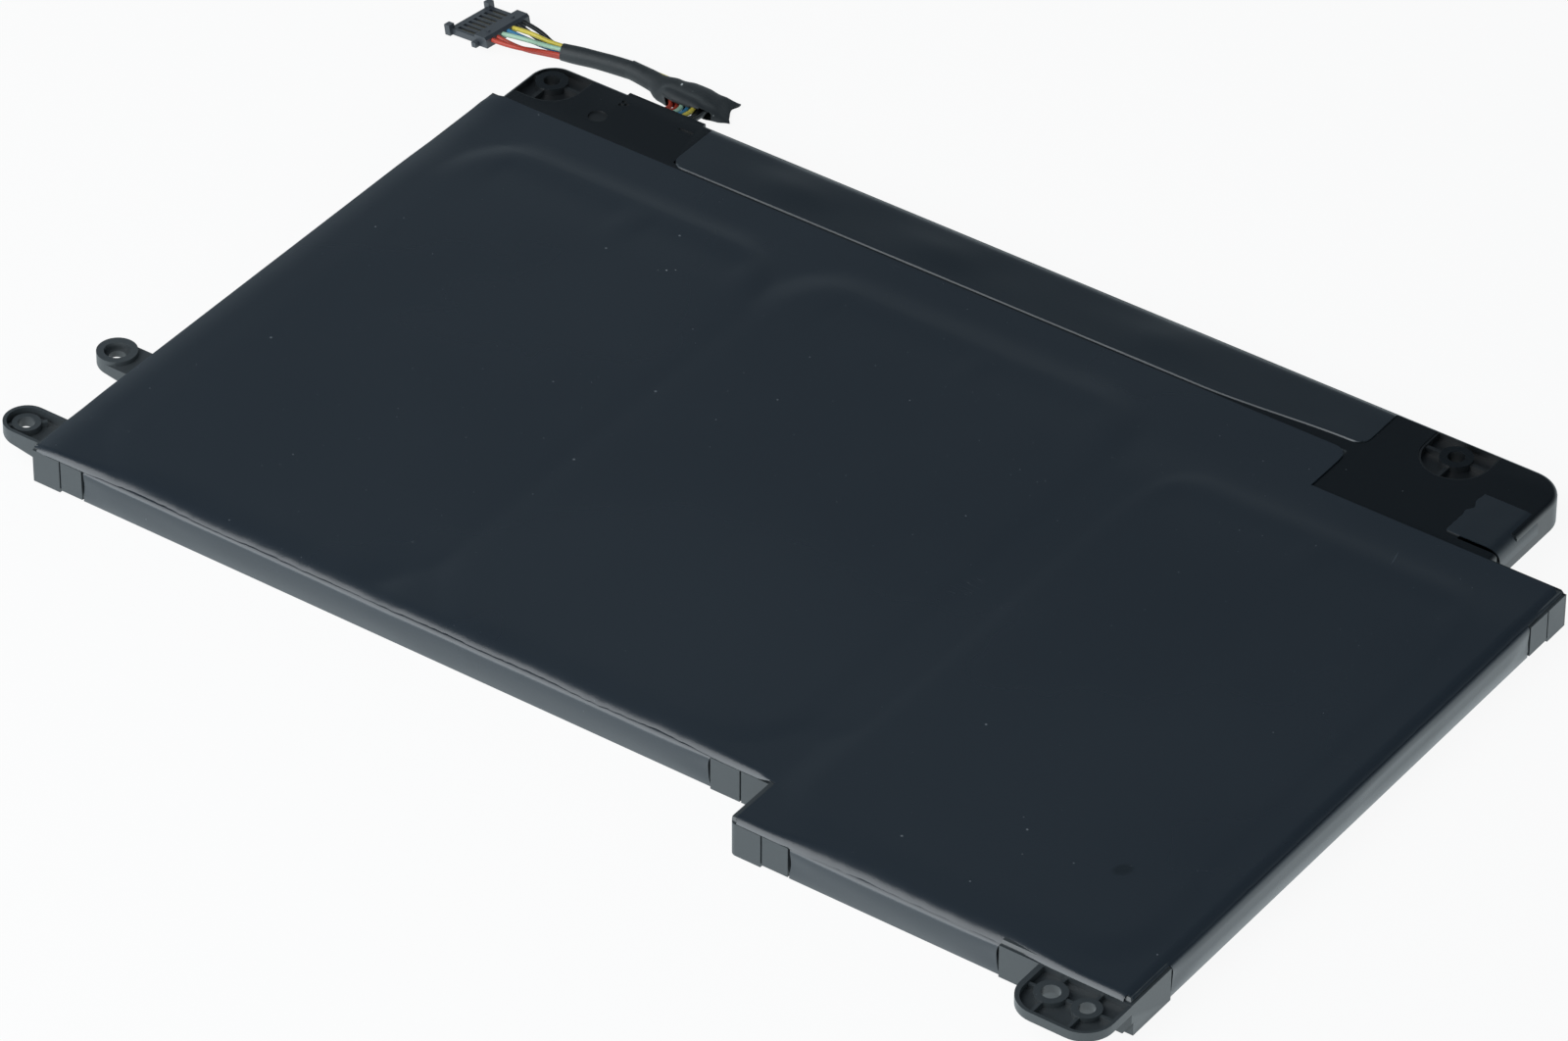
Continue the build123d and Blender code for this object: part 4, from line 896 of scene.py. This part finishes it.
@dataclass
class BarTapes:
    """The tape over the circuit board and the short tape at the bar's end."""

    left: float = -65.7
    right: float = 65.0
    front: float = 62.9
    back: float = 75.5
    level: float = 6.65
    flap_low: float = 3.85
    roll: float = 1.6
    slant: float = 1.9
    slant_run: float = 29.5
    corner: float = 2.4
    end_box: Four = (86.7, 96.5, 54.2, 65.2)
    end_low: float = 3.25
    end_roll: float = 2.2
    bumps: Rows = ((-45.0, 68.9, 7.0, 3.6, 0.33), (-17.5, 68.7, 6.5, 3.4, 0.28), (25.5, 69.1, 7.5, 3.8, 0.35))

    def lay_board_tape(self, p: Vector) -> Vector:
        """Where a point of the flat board tape comes to lie."""
        setback = self.slant * ease(self.right - self.slant_run, self.right, p.x)
        share = (p.y - self.front) / (self.back - self.front)
        x, y = p.x, p.y
        for edge, side in ((self.left, -1.0), (self.right, 1.0)):
            x, y = round_corner(x, y, (edge, self.front, side, -1.0), self.corner)
        y += setback * max(0.0, 1.0 - share)
        lift = sum(h * hump(x, bx, rx) * hump(y, by, ry) for bx, by, rx, ry, h in self.bumps)
        lift *= ease(self.front - 4.0, self.front + 3.5, y) * ease(self.back - 0.5, self.back - 3.0, y)
        lift += 0.04 * wander(41.0, x / 9.0, y / 5.0) * ease(self.front, self.front + 3.0, y)
        z = self.level + lift - 0.22 * ease(self.front + 0.36, self.front, p.y)
        run = p.y - (self.back - self.roll)
        if run > 0.0:
            ahead, drop = roll_over(run, self.roll)
            y, z = self.back - self.roll + ahead, z - drop
        return Vector((x, y, z))

    def build_board_tape(self, shop: Workshop) -> Piece:
        """Builds the tape over the circuit board."""
        tail = self.roll * math.pi / 2 + (self.level - self.roll - self.flap_low)
        bm = flat_grid(self.left, self.right, self.front, self.back - self.roll + tail, 0.8)
        cut_lines(bm, 1, [self.front + d for d in (0.12, 0.24, 0.36, 0.5)])
        reshape(bm, self.lay_board_tape)
        face_towards(bm, UP)
        return shop.film("board_tape_sheet", bm, Slot.TAPE, "board_tape")

    def build_end_tape(self, shop: Workshop) -> Piece:
        """Builds the short tape that arches over the bar's right-hand end."""
        left, right, front, back = self.end_box
        roll = self.end_roll
        tail = roll * math.pi / 2 + (self.level - roll - self.end_low)
        bm = flat_grid(left, right - roll + tail, front, back, 0.4)

        def arch(p: Vector) -> Vector:
            """Bends the flat tape over the end."""
            ragged = 0.35 * wander(51.0, p.y / 1.6) + 0.5 * hump(p.y, 61.5, 0.8)
            x = p.x + ragged * ease(left + 3.0, left, p.x)
            z = self.level + 0.03 * wander(53.0, p.x / 4.0, p.y / 4.0)
            run = p.x - (right - roll)
            if run > 0.0:
                ahead, drop = roll_over(run, roll)
                x, z = right - roll + ahead, z - drop
            return Vector((x, p.y, z))

        reshape(bm, arch)
        face_towards(bm, UP)
        return shop.film("end_tape_sheet", bm, Slot.TAPE, "end_tape")

    def build(self, shop: Workshop) -> None:
        """Builds both tapes."""
        self.build_board_tape(shop)
        self.build_end_tape(shop)


@dataclass
class Wire:
    """One wire of the harness: its node, its slot and its measured length in metres."""

    node: str
    slot: Slot
    length: float


@dataclass
class Harness:
    """The seven wires, the sleeve and wrap round them, and the plug on their end."""

    diameter: float = 0.8
    exit_x: float = -76.0
    pitch: float = 1.15
    plug_pitch: float = 1.2
    level: float = 1.55
    turn: float = math.radians(8.2)
    tilt: float = math.radians(9.6)
    plug: Point = (-112.7, 82.5, 1.634)
    sleeve_span: tuple[float, float] = (-103.3, -89.6)
    sleeve_radius: float = 1.53
    mouth: Four = (-80.5, -72.8, 83.4, 1.5)
    wires: tuple[Wire, ...] = (
        Wire("red_wire_1", Slot.RED, 0.04584),
        Wire("red_wire_2", Slot.RED, 0.04707),
        Wire("green_wire", Slot.GREEN, 0.04733),
        Wire("blue_wire", Slot.BLUE, 0.04856),
        Wire("yellow_wire", Slot.YELLOW, 0.04979),
        Wire("black_wire_1", Slot.BLACK, 0.05089),
        Wire("black_wire_2", Slot.BLACK, 0.05219),
    )
    bundle: Rows = (
        (-0.9, 0.0), (-0.45, -0.7794), (-0.45, 0.7794), (0.0, 0.0), (0.45, 0.7794), (0.45, -0.7794), (0.9, 0.0),
    )
    wrap_route: Route = (
        (-90.8, 86.5, 1.62), (-86.5, 86.2, 1.6), (-82.3, 85.3, 1.6),
        (-78.0, 85.4, 1.56), (-74.0, 86.3, 1.08), (-71.2, 87.5, 0.5),
    )
    wrap_sizes: Rows = (
        (-90.8, 1.62, 1.56), (-87.0, 1.9, 1.55), (-83.2, 3.2, 1.5), (-79.5, 3.9, 1.45),
        (-76.0, 3.9, 1.4), (-73.0, 3.4, 0.95), (-71.2, 3.05, 0.22),
    )

    def on_plug(self, x: float, y: float, z: float) -> Point:
        """A point given on the plug, in the part's frame."""
        lean = Matrix.Rotation(-self.tilt, 4, "Y") @ Vector((x, y, z))
        return tuple(Vector(self.plug) + Matrix.Rotation(-self.turn, 4, "Z") @ lean)

    def route(self, number: int) -> Route:
        """The points that one wire's line is drawn with, in millimetres.

        Args:
            number: the wire, from 0 to 6.

        Returns:
            The points from the bar to the plug.
        """
        side, up = self.bundle[number]
        x = self.exit_x + (number - 3) * self.pitch
        seat = (number - 3) * self.plug_pitch
        return (
            (x, 72.8, 3.65),
            (self.exit_x + (number - 3) * 1.0, 76.6, 3.5),
            (self.exit_x + (number - 3) * 0.9 + 0.3, 82.6 + side, 2.0 + 0.3 * up),
            (x - 4.2, 86.6 + side, self.level + up),
            (-88.0, 86.8 + side, self.level + up),
            (-96.5, 85.75 + side, self.level + up),
            (-104.6, 83.65 + side, self.level + up),
            self.on_plug(4.2, 0.93 * seat, 0.7 + 0.9 * up),
            self.on_plug(0.0, seat, 1.0),
        )

    def line(self, name: str, points: Route, diameter: float) -> Piece:
        """Makes a smooth curve through a route.

        Args:
            name: the object's name.
            points: the route in millimetres.
            diameter: the wire's diameter in millimetres, or 0 for a bare line.

        Returns:
            The curve object.
        """
        curve = bpy.data.curves.new(name, "CURVE")
        curve.dimensions = "3D"
        curve.resolution_u = 10
        spline = curve.splines.new("NURBS")
        spline.points.add(len(points) - 1)
        for knot, point in zip(spline.points, points):
            knot.co = (point[0] * MM, point[1] * MM, point[2] * MM, 1.0)
        spline.order_u = 3
        spline.use_endpoint_u = True
        if diameter > 0.0:
            curve.bevel_depth = diameter * MM / 2
            curve.bevel_resolution = 4
            curve.use_fill_caps = True
        return put(name, curve)

    def smooth_line(self, points: Route) -> list[Vector]:
        """The smooth line of a route as points in millimetres, read from its spline."""
        guide = self.line("guide_line", points, 0.0)
        mesh = bpy.data.meshes.new_from_object(guide)
        smooth = [v.co / MM for v in mesh.vertices]
        bpy.data.meshes.remove(mesh)
        bpy.data.objects.remove(guide)
        return smooth

    def tube(self, line: list[Vector], radii: Callable[[float], tuple[float, float]], sides: int) -> Sheet:
        """Draws a ring along a line, extruding it from point to point.

        Args:
            line: the points that the tube follows.
            radii: gives the half width and half height at a share of the length.
            sides: faces round the tube.

        Returns:
            The open tube.
        """
        bm = bmesh.new()
        ring = bmesh.ops.create_circle(bm, cap_ends=False, segments=sides, radius=1.0)["verts"]
        flat = [v.co.copy() for v in ring]
        edges = bm.edges[:]
        last = len(line) - 1
        for index, point in enumerate(line):
            ahead = (line[min(index + 1, last)] - line[max(index - 1, 0)]).normalized()
            across = ahead.cross(UP).normalized()
            wide, high = radii(index / last)
            if index:
                made = bmesh.ops.extrude_edge_only(bm, edges=edges)["geom"]
                edges = [g for g in made if isinstance(g, bmesh.types.BMEdge)]
                fresh = [g for g in made if isinstance(g, bmesh.types.BMVert)]
                pairs = [(edge.other_vert(vert), vert) for vert in fresh for edge in vert.link_edges]
                by_old = {old: new for old, new in pairs if old in ring}
                ring = [by_old[v] for v in ring]
            for vert, base in zip(ring, flat):
                vert.co = point + across * (base.x * wide) + UP * (base.y * high)

        def rank(part: bmesh.types.BMEdge | bmesh.types.BMFace) -> int:
            """Orders edges and faces by their vertices, as extruding leaves them in no fixed order."""
            numbers = [v.index for v in part.verts]
            return max(numbers) * len(bm.verts) + min(numbers)

        bm.verts.index_update()
        bm.edges.sort(key=rank)
        bm.faces.sort(key=rank)
        return bm

    def build_sleeve(self, shop: Workshop, line: list[Vector]) -> Piece:
        """Builds the narrow sleeve round the bundle."""
        part = [p for p in line if self.sleeve_span[0] <= p.x <= self.sleeve_span[1]]

        def radii(share: float) -> tuple[float, float]:
            """Half width and height, a little uneven."""
            size = self.sleeve_radius + 0.04 * math.sin(9.0 * share) - 0.1 * ease(0.7, 1.0, share)
            return size, min(size, self.sleeve_radius)

        bm = self.tube(part, radii, 28)
        bmesh.ops.recalc_face_normals(bm, faces=bm.faces)
        return shop.piece("cable_sleeve_tube", bm, Slot.CLOTH, "cable_sleeve", crease=50.0, shell=0.1)

    def build_wrap(self, shop: Workshop) -> Piece:
        """Builds the flattened wrap where the wires turn into the bundle."""
        line = self.smooth_line(self.wrap_route)
        ends = line[0].x, line[-1].x
        bm = self.tube(line, lambda share: tuple(along(self.wrap_sizes, ends[0] + (ends[1] - ends[0]) * share)), 40)
        bmesh.ops.recalc_face_normals(bm, faces=bm.faces)

        def crumple(p: Vector) -> Vector:
            """Creases the cloth and draws its free end into two points."""
            late = ease(-75.0, -71.0, p.x)
            p.x += late * (1.5 * ease(88.2, 90.4, p.y) + 0.5 * ease(86.0, 84.4, p.y) - 0.3 * hump(p.y, 87.8, 1.2))
            over = ease(-83.5, -81.0, p.x) * ease(-71.5, -73.5, p.x) * ease(86.0, 82.2, p.y)
            p.z += 1.4 * over * ease(0.9, 1.3, p.z)
            p.z += 0.1 * wander(61.0, p.x / 2.2, p.y / 3.0) * ease(-89.0, -85.0, p.x) * ease(0.2, 1.2, p.z)
            p.z = max(p.z, 0.03)
            return p

        left, right, front, low = self.mouth
        middles = {f: f.calc_center_median() for f in bm.faces}
        mouth = [f for f, m in middles.items() if left < m.x < right and m.y < front and m.z < low]
        bmesh.ops.delete(bm, geom=mouth, context="FACES")
        reshape(bm, crumple)
        return shop.piece("cable_wrap_cloth", bm, Slot.CLOTH, "cable_wrap", crease=70.0, shell=0.12)

    def build(self, shop: Workshop) -> None:
        """Builds the harness: the sleeve, the wrap, the plug and the wires.

        Args:
            shop: makes and dresses the pieces.
        """
        sleeve = self.build_sleeve(shop, self.smooth_line(self.route(3)))
        wrap = self.build_wrap(shop)
        housing = shop.eased_copy("connector_housing", "plug_housing", Slot.PLUG, width=0.08)
        shop.coat(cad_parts["connector_contacts"], Slot.CONTACT)
        for number, wire in enumerate(self.wires):
            points = self.route(number)
            obj = self.line(wire.node + "_cord", points, self.diameter)
            shop.dress(obj, wire.slot, wire.node)


@dataclass
class Insides:
    """The nodes that the film and the tapes hide; lengths are in millimetres."""

    pouch_round: float = 1.2
    pouch_sink: float = 0.6
    coats: tuple[tuple[Slot, str], ...] = (
        (Slot.TAB, "tabs_left tabs_middle tabs_right"),
        (Slot.ADHESIVE, "adhesive_left adhesive_middle adhesive_right"),
        (Slot.BOARD, "circuit_board"),
        (Slot.CHIP, "gauge_chip charge_switch discharge_switch"),
        (Slot.RESISTOR, "sense_resistor thermistor"),
        (Slot.CERAMIC, "fuse chip_capacitors"),
        (Slot.SOLDER, "solder_joints"),
    )

    def dress(self, shop: Workshop) -> None:
        """Coats each node, and rounds the pouches and sinks their tops clear of the film."""
        for slot, nodes in self.coats:
            for node in nodes.split():
                shop.coat(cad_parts[node], slot)
        for side in ("left", "middle", "right"):
            pouch = shop.eased_copy(f"cell_{side}", f"pouch_{side}", Slot.POUCH, self.pouch_round, 3)
            top = max(v.co.z for v in pouch.data.vertices)
            for vert in pouch.data.vertices:
                if vert.co.z > top - 0.5 * MM:
                    vert.co.z -= self.pouch_sink * MM


@dataclass
class Studio:
    """The pale floor, the soft light and the camera."""

    azimuth: float = math.radians(35.33)
    elevation: float = math.radians(37.43)
    roll: float = math.radians(0.30)
    aim: Point = (30.02, 31.06, 1367.6)
    shift_to_part: Point = (4.3, -55.3, 0.25)
    lens: float = 210.85
    room_low: Colour = (0.8, 0.93, 1.0)
    room_high: Colour = (0.03, 0.04, 0.052)
    room_lean: float = 0.3
    room_top: float = 0.88
    lamp_place: Point = (-0.2, -0.38, 0.4)
    lamp_size: float = 0.65
    lamp_power: float = 2.8
    lamp_colour: Colour = (0.95, 0.98, 1.0)
    floor_reach: float = 4.0
    floor_level: float = -0.00004

    def build_camera(self) -> None:
        """Sets the camera at the photograph's angle."""
        sa, ca = math.sin(self.azimuth), math.cos(self.azimuth)
        se, ce = math.sin(self.elevation), math.cos(self.elevation)
        back = Vector((sa * ce, -ca * ce, se))
        right = Vector((ca, sa, 0.0))
        up = back.cross(right)
        c, s = math.cos(self.roll), math.sin(self.roll)
        level = right * c + up * s
        upright = up * c - right * s
        place = level * self.aim[0] + upright * self.aim[1] + back * self.aim[2] + Vector(self.shift_to_part)
        data = bpy.data.cameras.new("camera")
        data.lens = self.lens
        data.sensor_width = 36.0
        data.sensor_fit = "HORIZONTAL"
        data.clip_end = 50.0
        camera = put("camera", data)
        camera.matrix_world = Matrix.Translation(place * MM) @ Matrix((level, upright, back)).transposed().to_4x4()
        bpy.context.scene.camera = camera

    def build_world(self) -> None:
        """White where the camera looks, and a room that darkens overhead in reflections."""
        world = bpy.data.worlds.new("studio_world")
        bpy.context.scene.world = world
        world.use_nodes = True
        graph = Graph(world.node_tree)
        rays = graph.add("LightPath").outputs
        parts = graph.add("SeparateXYZ", {0: graph.add("TexCoord").outputs["Generated"]}).outputs
        leaning = graph.maths("MULTIPLY", parts["Y"], self.room_lean)
        height = graph.span(graph.maths("ADD", parts["Z"], leaning), 0.0, self.room_top)
        room = graph.blend(height, (*self.room_low, 1.0), (*self.room_high, 1.0))
        seen = graph.blend(rays["Is Camera Ray"], room, WHITE)
        graph.feed(world.node_tree.nodes["Background"], {"Color": seen, "Strength": 1.0})

    def build_floor(self) -> None:
        """A pale floor that keeps the shadow and can be seen through from below."""
        bm = bmesh.new()
        sunk = Matrix.Translation((0.0, 0.0, self.floor_level))
        bmesh.ops.create_grid(bm, x_segments=1, y_segments=1, size=self.floor_reach, matrix=sunk)
        floor = put("floor", make_mesh("floor", bm))
        material = bpy.data.materials.new("floor_paper")
        material.use_nodes = True
        graph = Graph(material.node_tree)
        nodes = material.node_tree.nodes
        cloudy = graph.cloud(graph.add("TexCoord").outputs["Object"], 60.0)
        paper = graph.blend(cloudy, (0.84, 0.85, 0.86, 1.0), (0.87, 0.88, 0.89, 1.0))
        shader = graph.feed(
            nodes["Principled BSDF"], {"Base Color": paper, "Roughness": 0.8, "Specular IOR Level": 0.1}
        )
        rays = graph.add("LightPath").outputs
        tint = graph.blend(rays["Is Camera Ray"], (0.86, 0.96, 1.0, 1.0), WHITE)
        glow = graph.add("Emission", {"Color": tint})
        lit = graph.maths("MAXIMUM", graph.maths("MULTIPLY", rays["Is Camera Ray"], 0.92), rays["Is Glossy Ray"])
        seen = graph.add("MixShader", {0: lit, 1: shader.outputs[0], 2: glow.outputs[0]})
        behind = graph.add("NewGeometry").outputs["Backfacing"]
        clear = graph.add("BsdfTransparent").outputs[0]
        below = graph.add("MixShader", {0: behind, 1: seen.outputs[0], 2: clear})
        graph.feed(nodes["Material Output"], {"Surface": below.outputs[0]})
        floor.data.materials.append(material)

    def build_lamp(self) -> None:
        """Adds a square soft lamp that faces the pack."""
        data = bpy.data.lights.new("front_softbox", "AREA")
        data.shape = "SQUARE"
        data.size = self.lamp_size
        data.energy = self.lamp_power
        data.color = self.lamp_colour
        obj = put("front_softbox", data)
        obj.location = self.lamp_place
        obj.rotation_mode = "QUATERNION"
        obj.rotation_quaternion = (-Vector(self.lamp_place)).to_track_quat("-Z", "Y")

    def build(self) -> None:
        """Builds the whole studio."""
        bpy.context.scene.view_settings.view_transform = "Standard"
        self.build_camera()
        self.build_world()
        self.build_floor()
        self.build_lamp()


def main() -> None:
    """Builds the pack's pieces in order, then the studio."""
    logging.basicConfig(level=logging.INFO, format="%(message)s")
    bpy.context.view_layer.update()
    shop = Workshop(Finishes())
    Harness().build(shop)
    TopFilm().build(shop)
    UnderFilm().build(shop)
    BarTapes().build(shop)
    shop.eased_copy("frame", "moulded_frame", Slot.FRAME, width=0.14)
    Insides().dress(shop)
    Studio().build()
    LOG.info("pack complete")


if __name__ == "__main__":
    main()
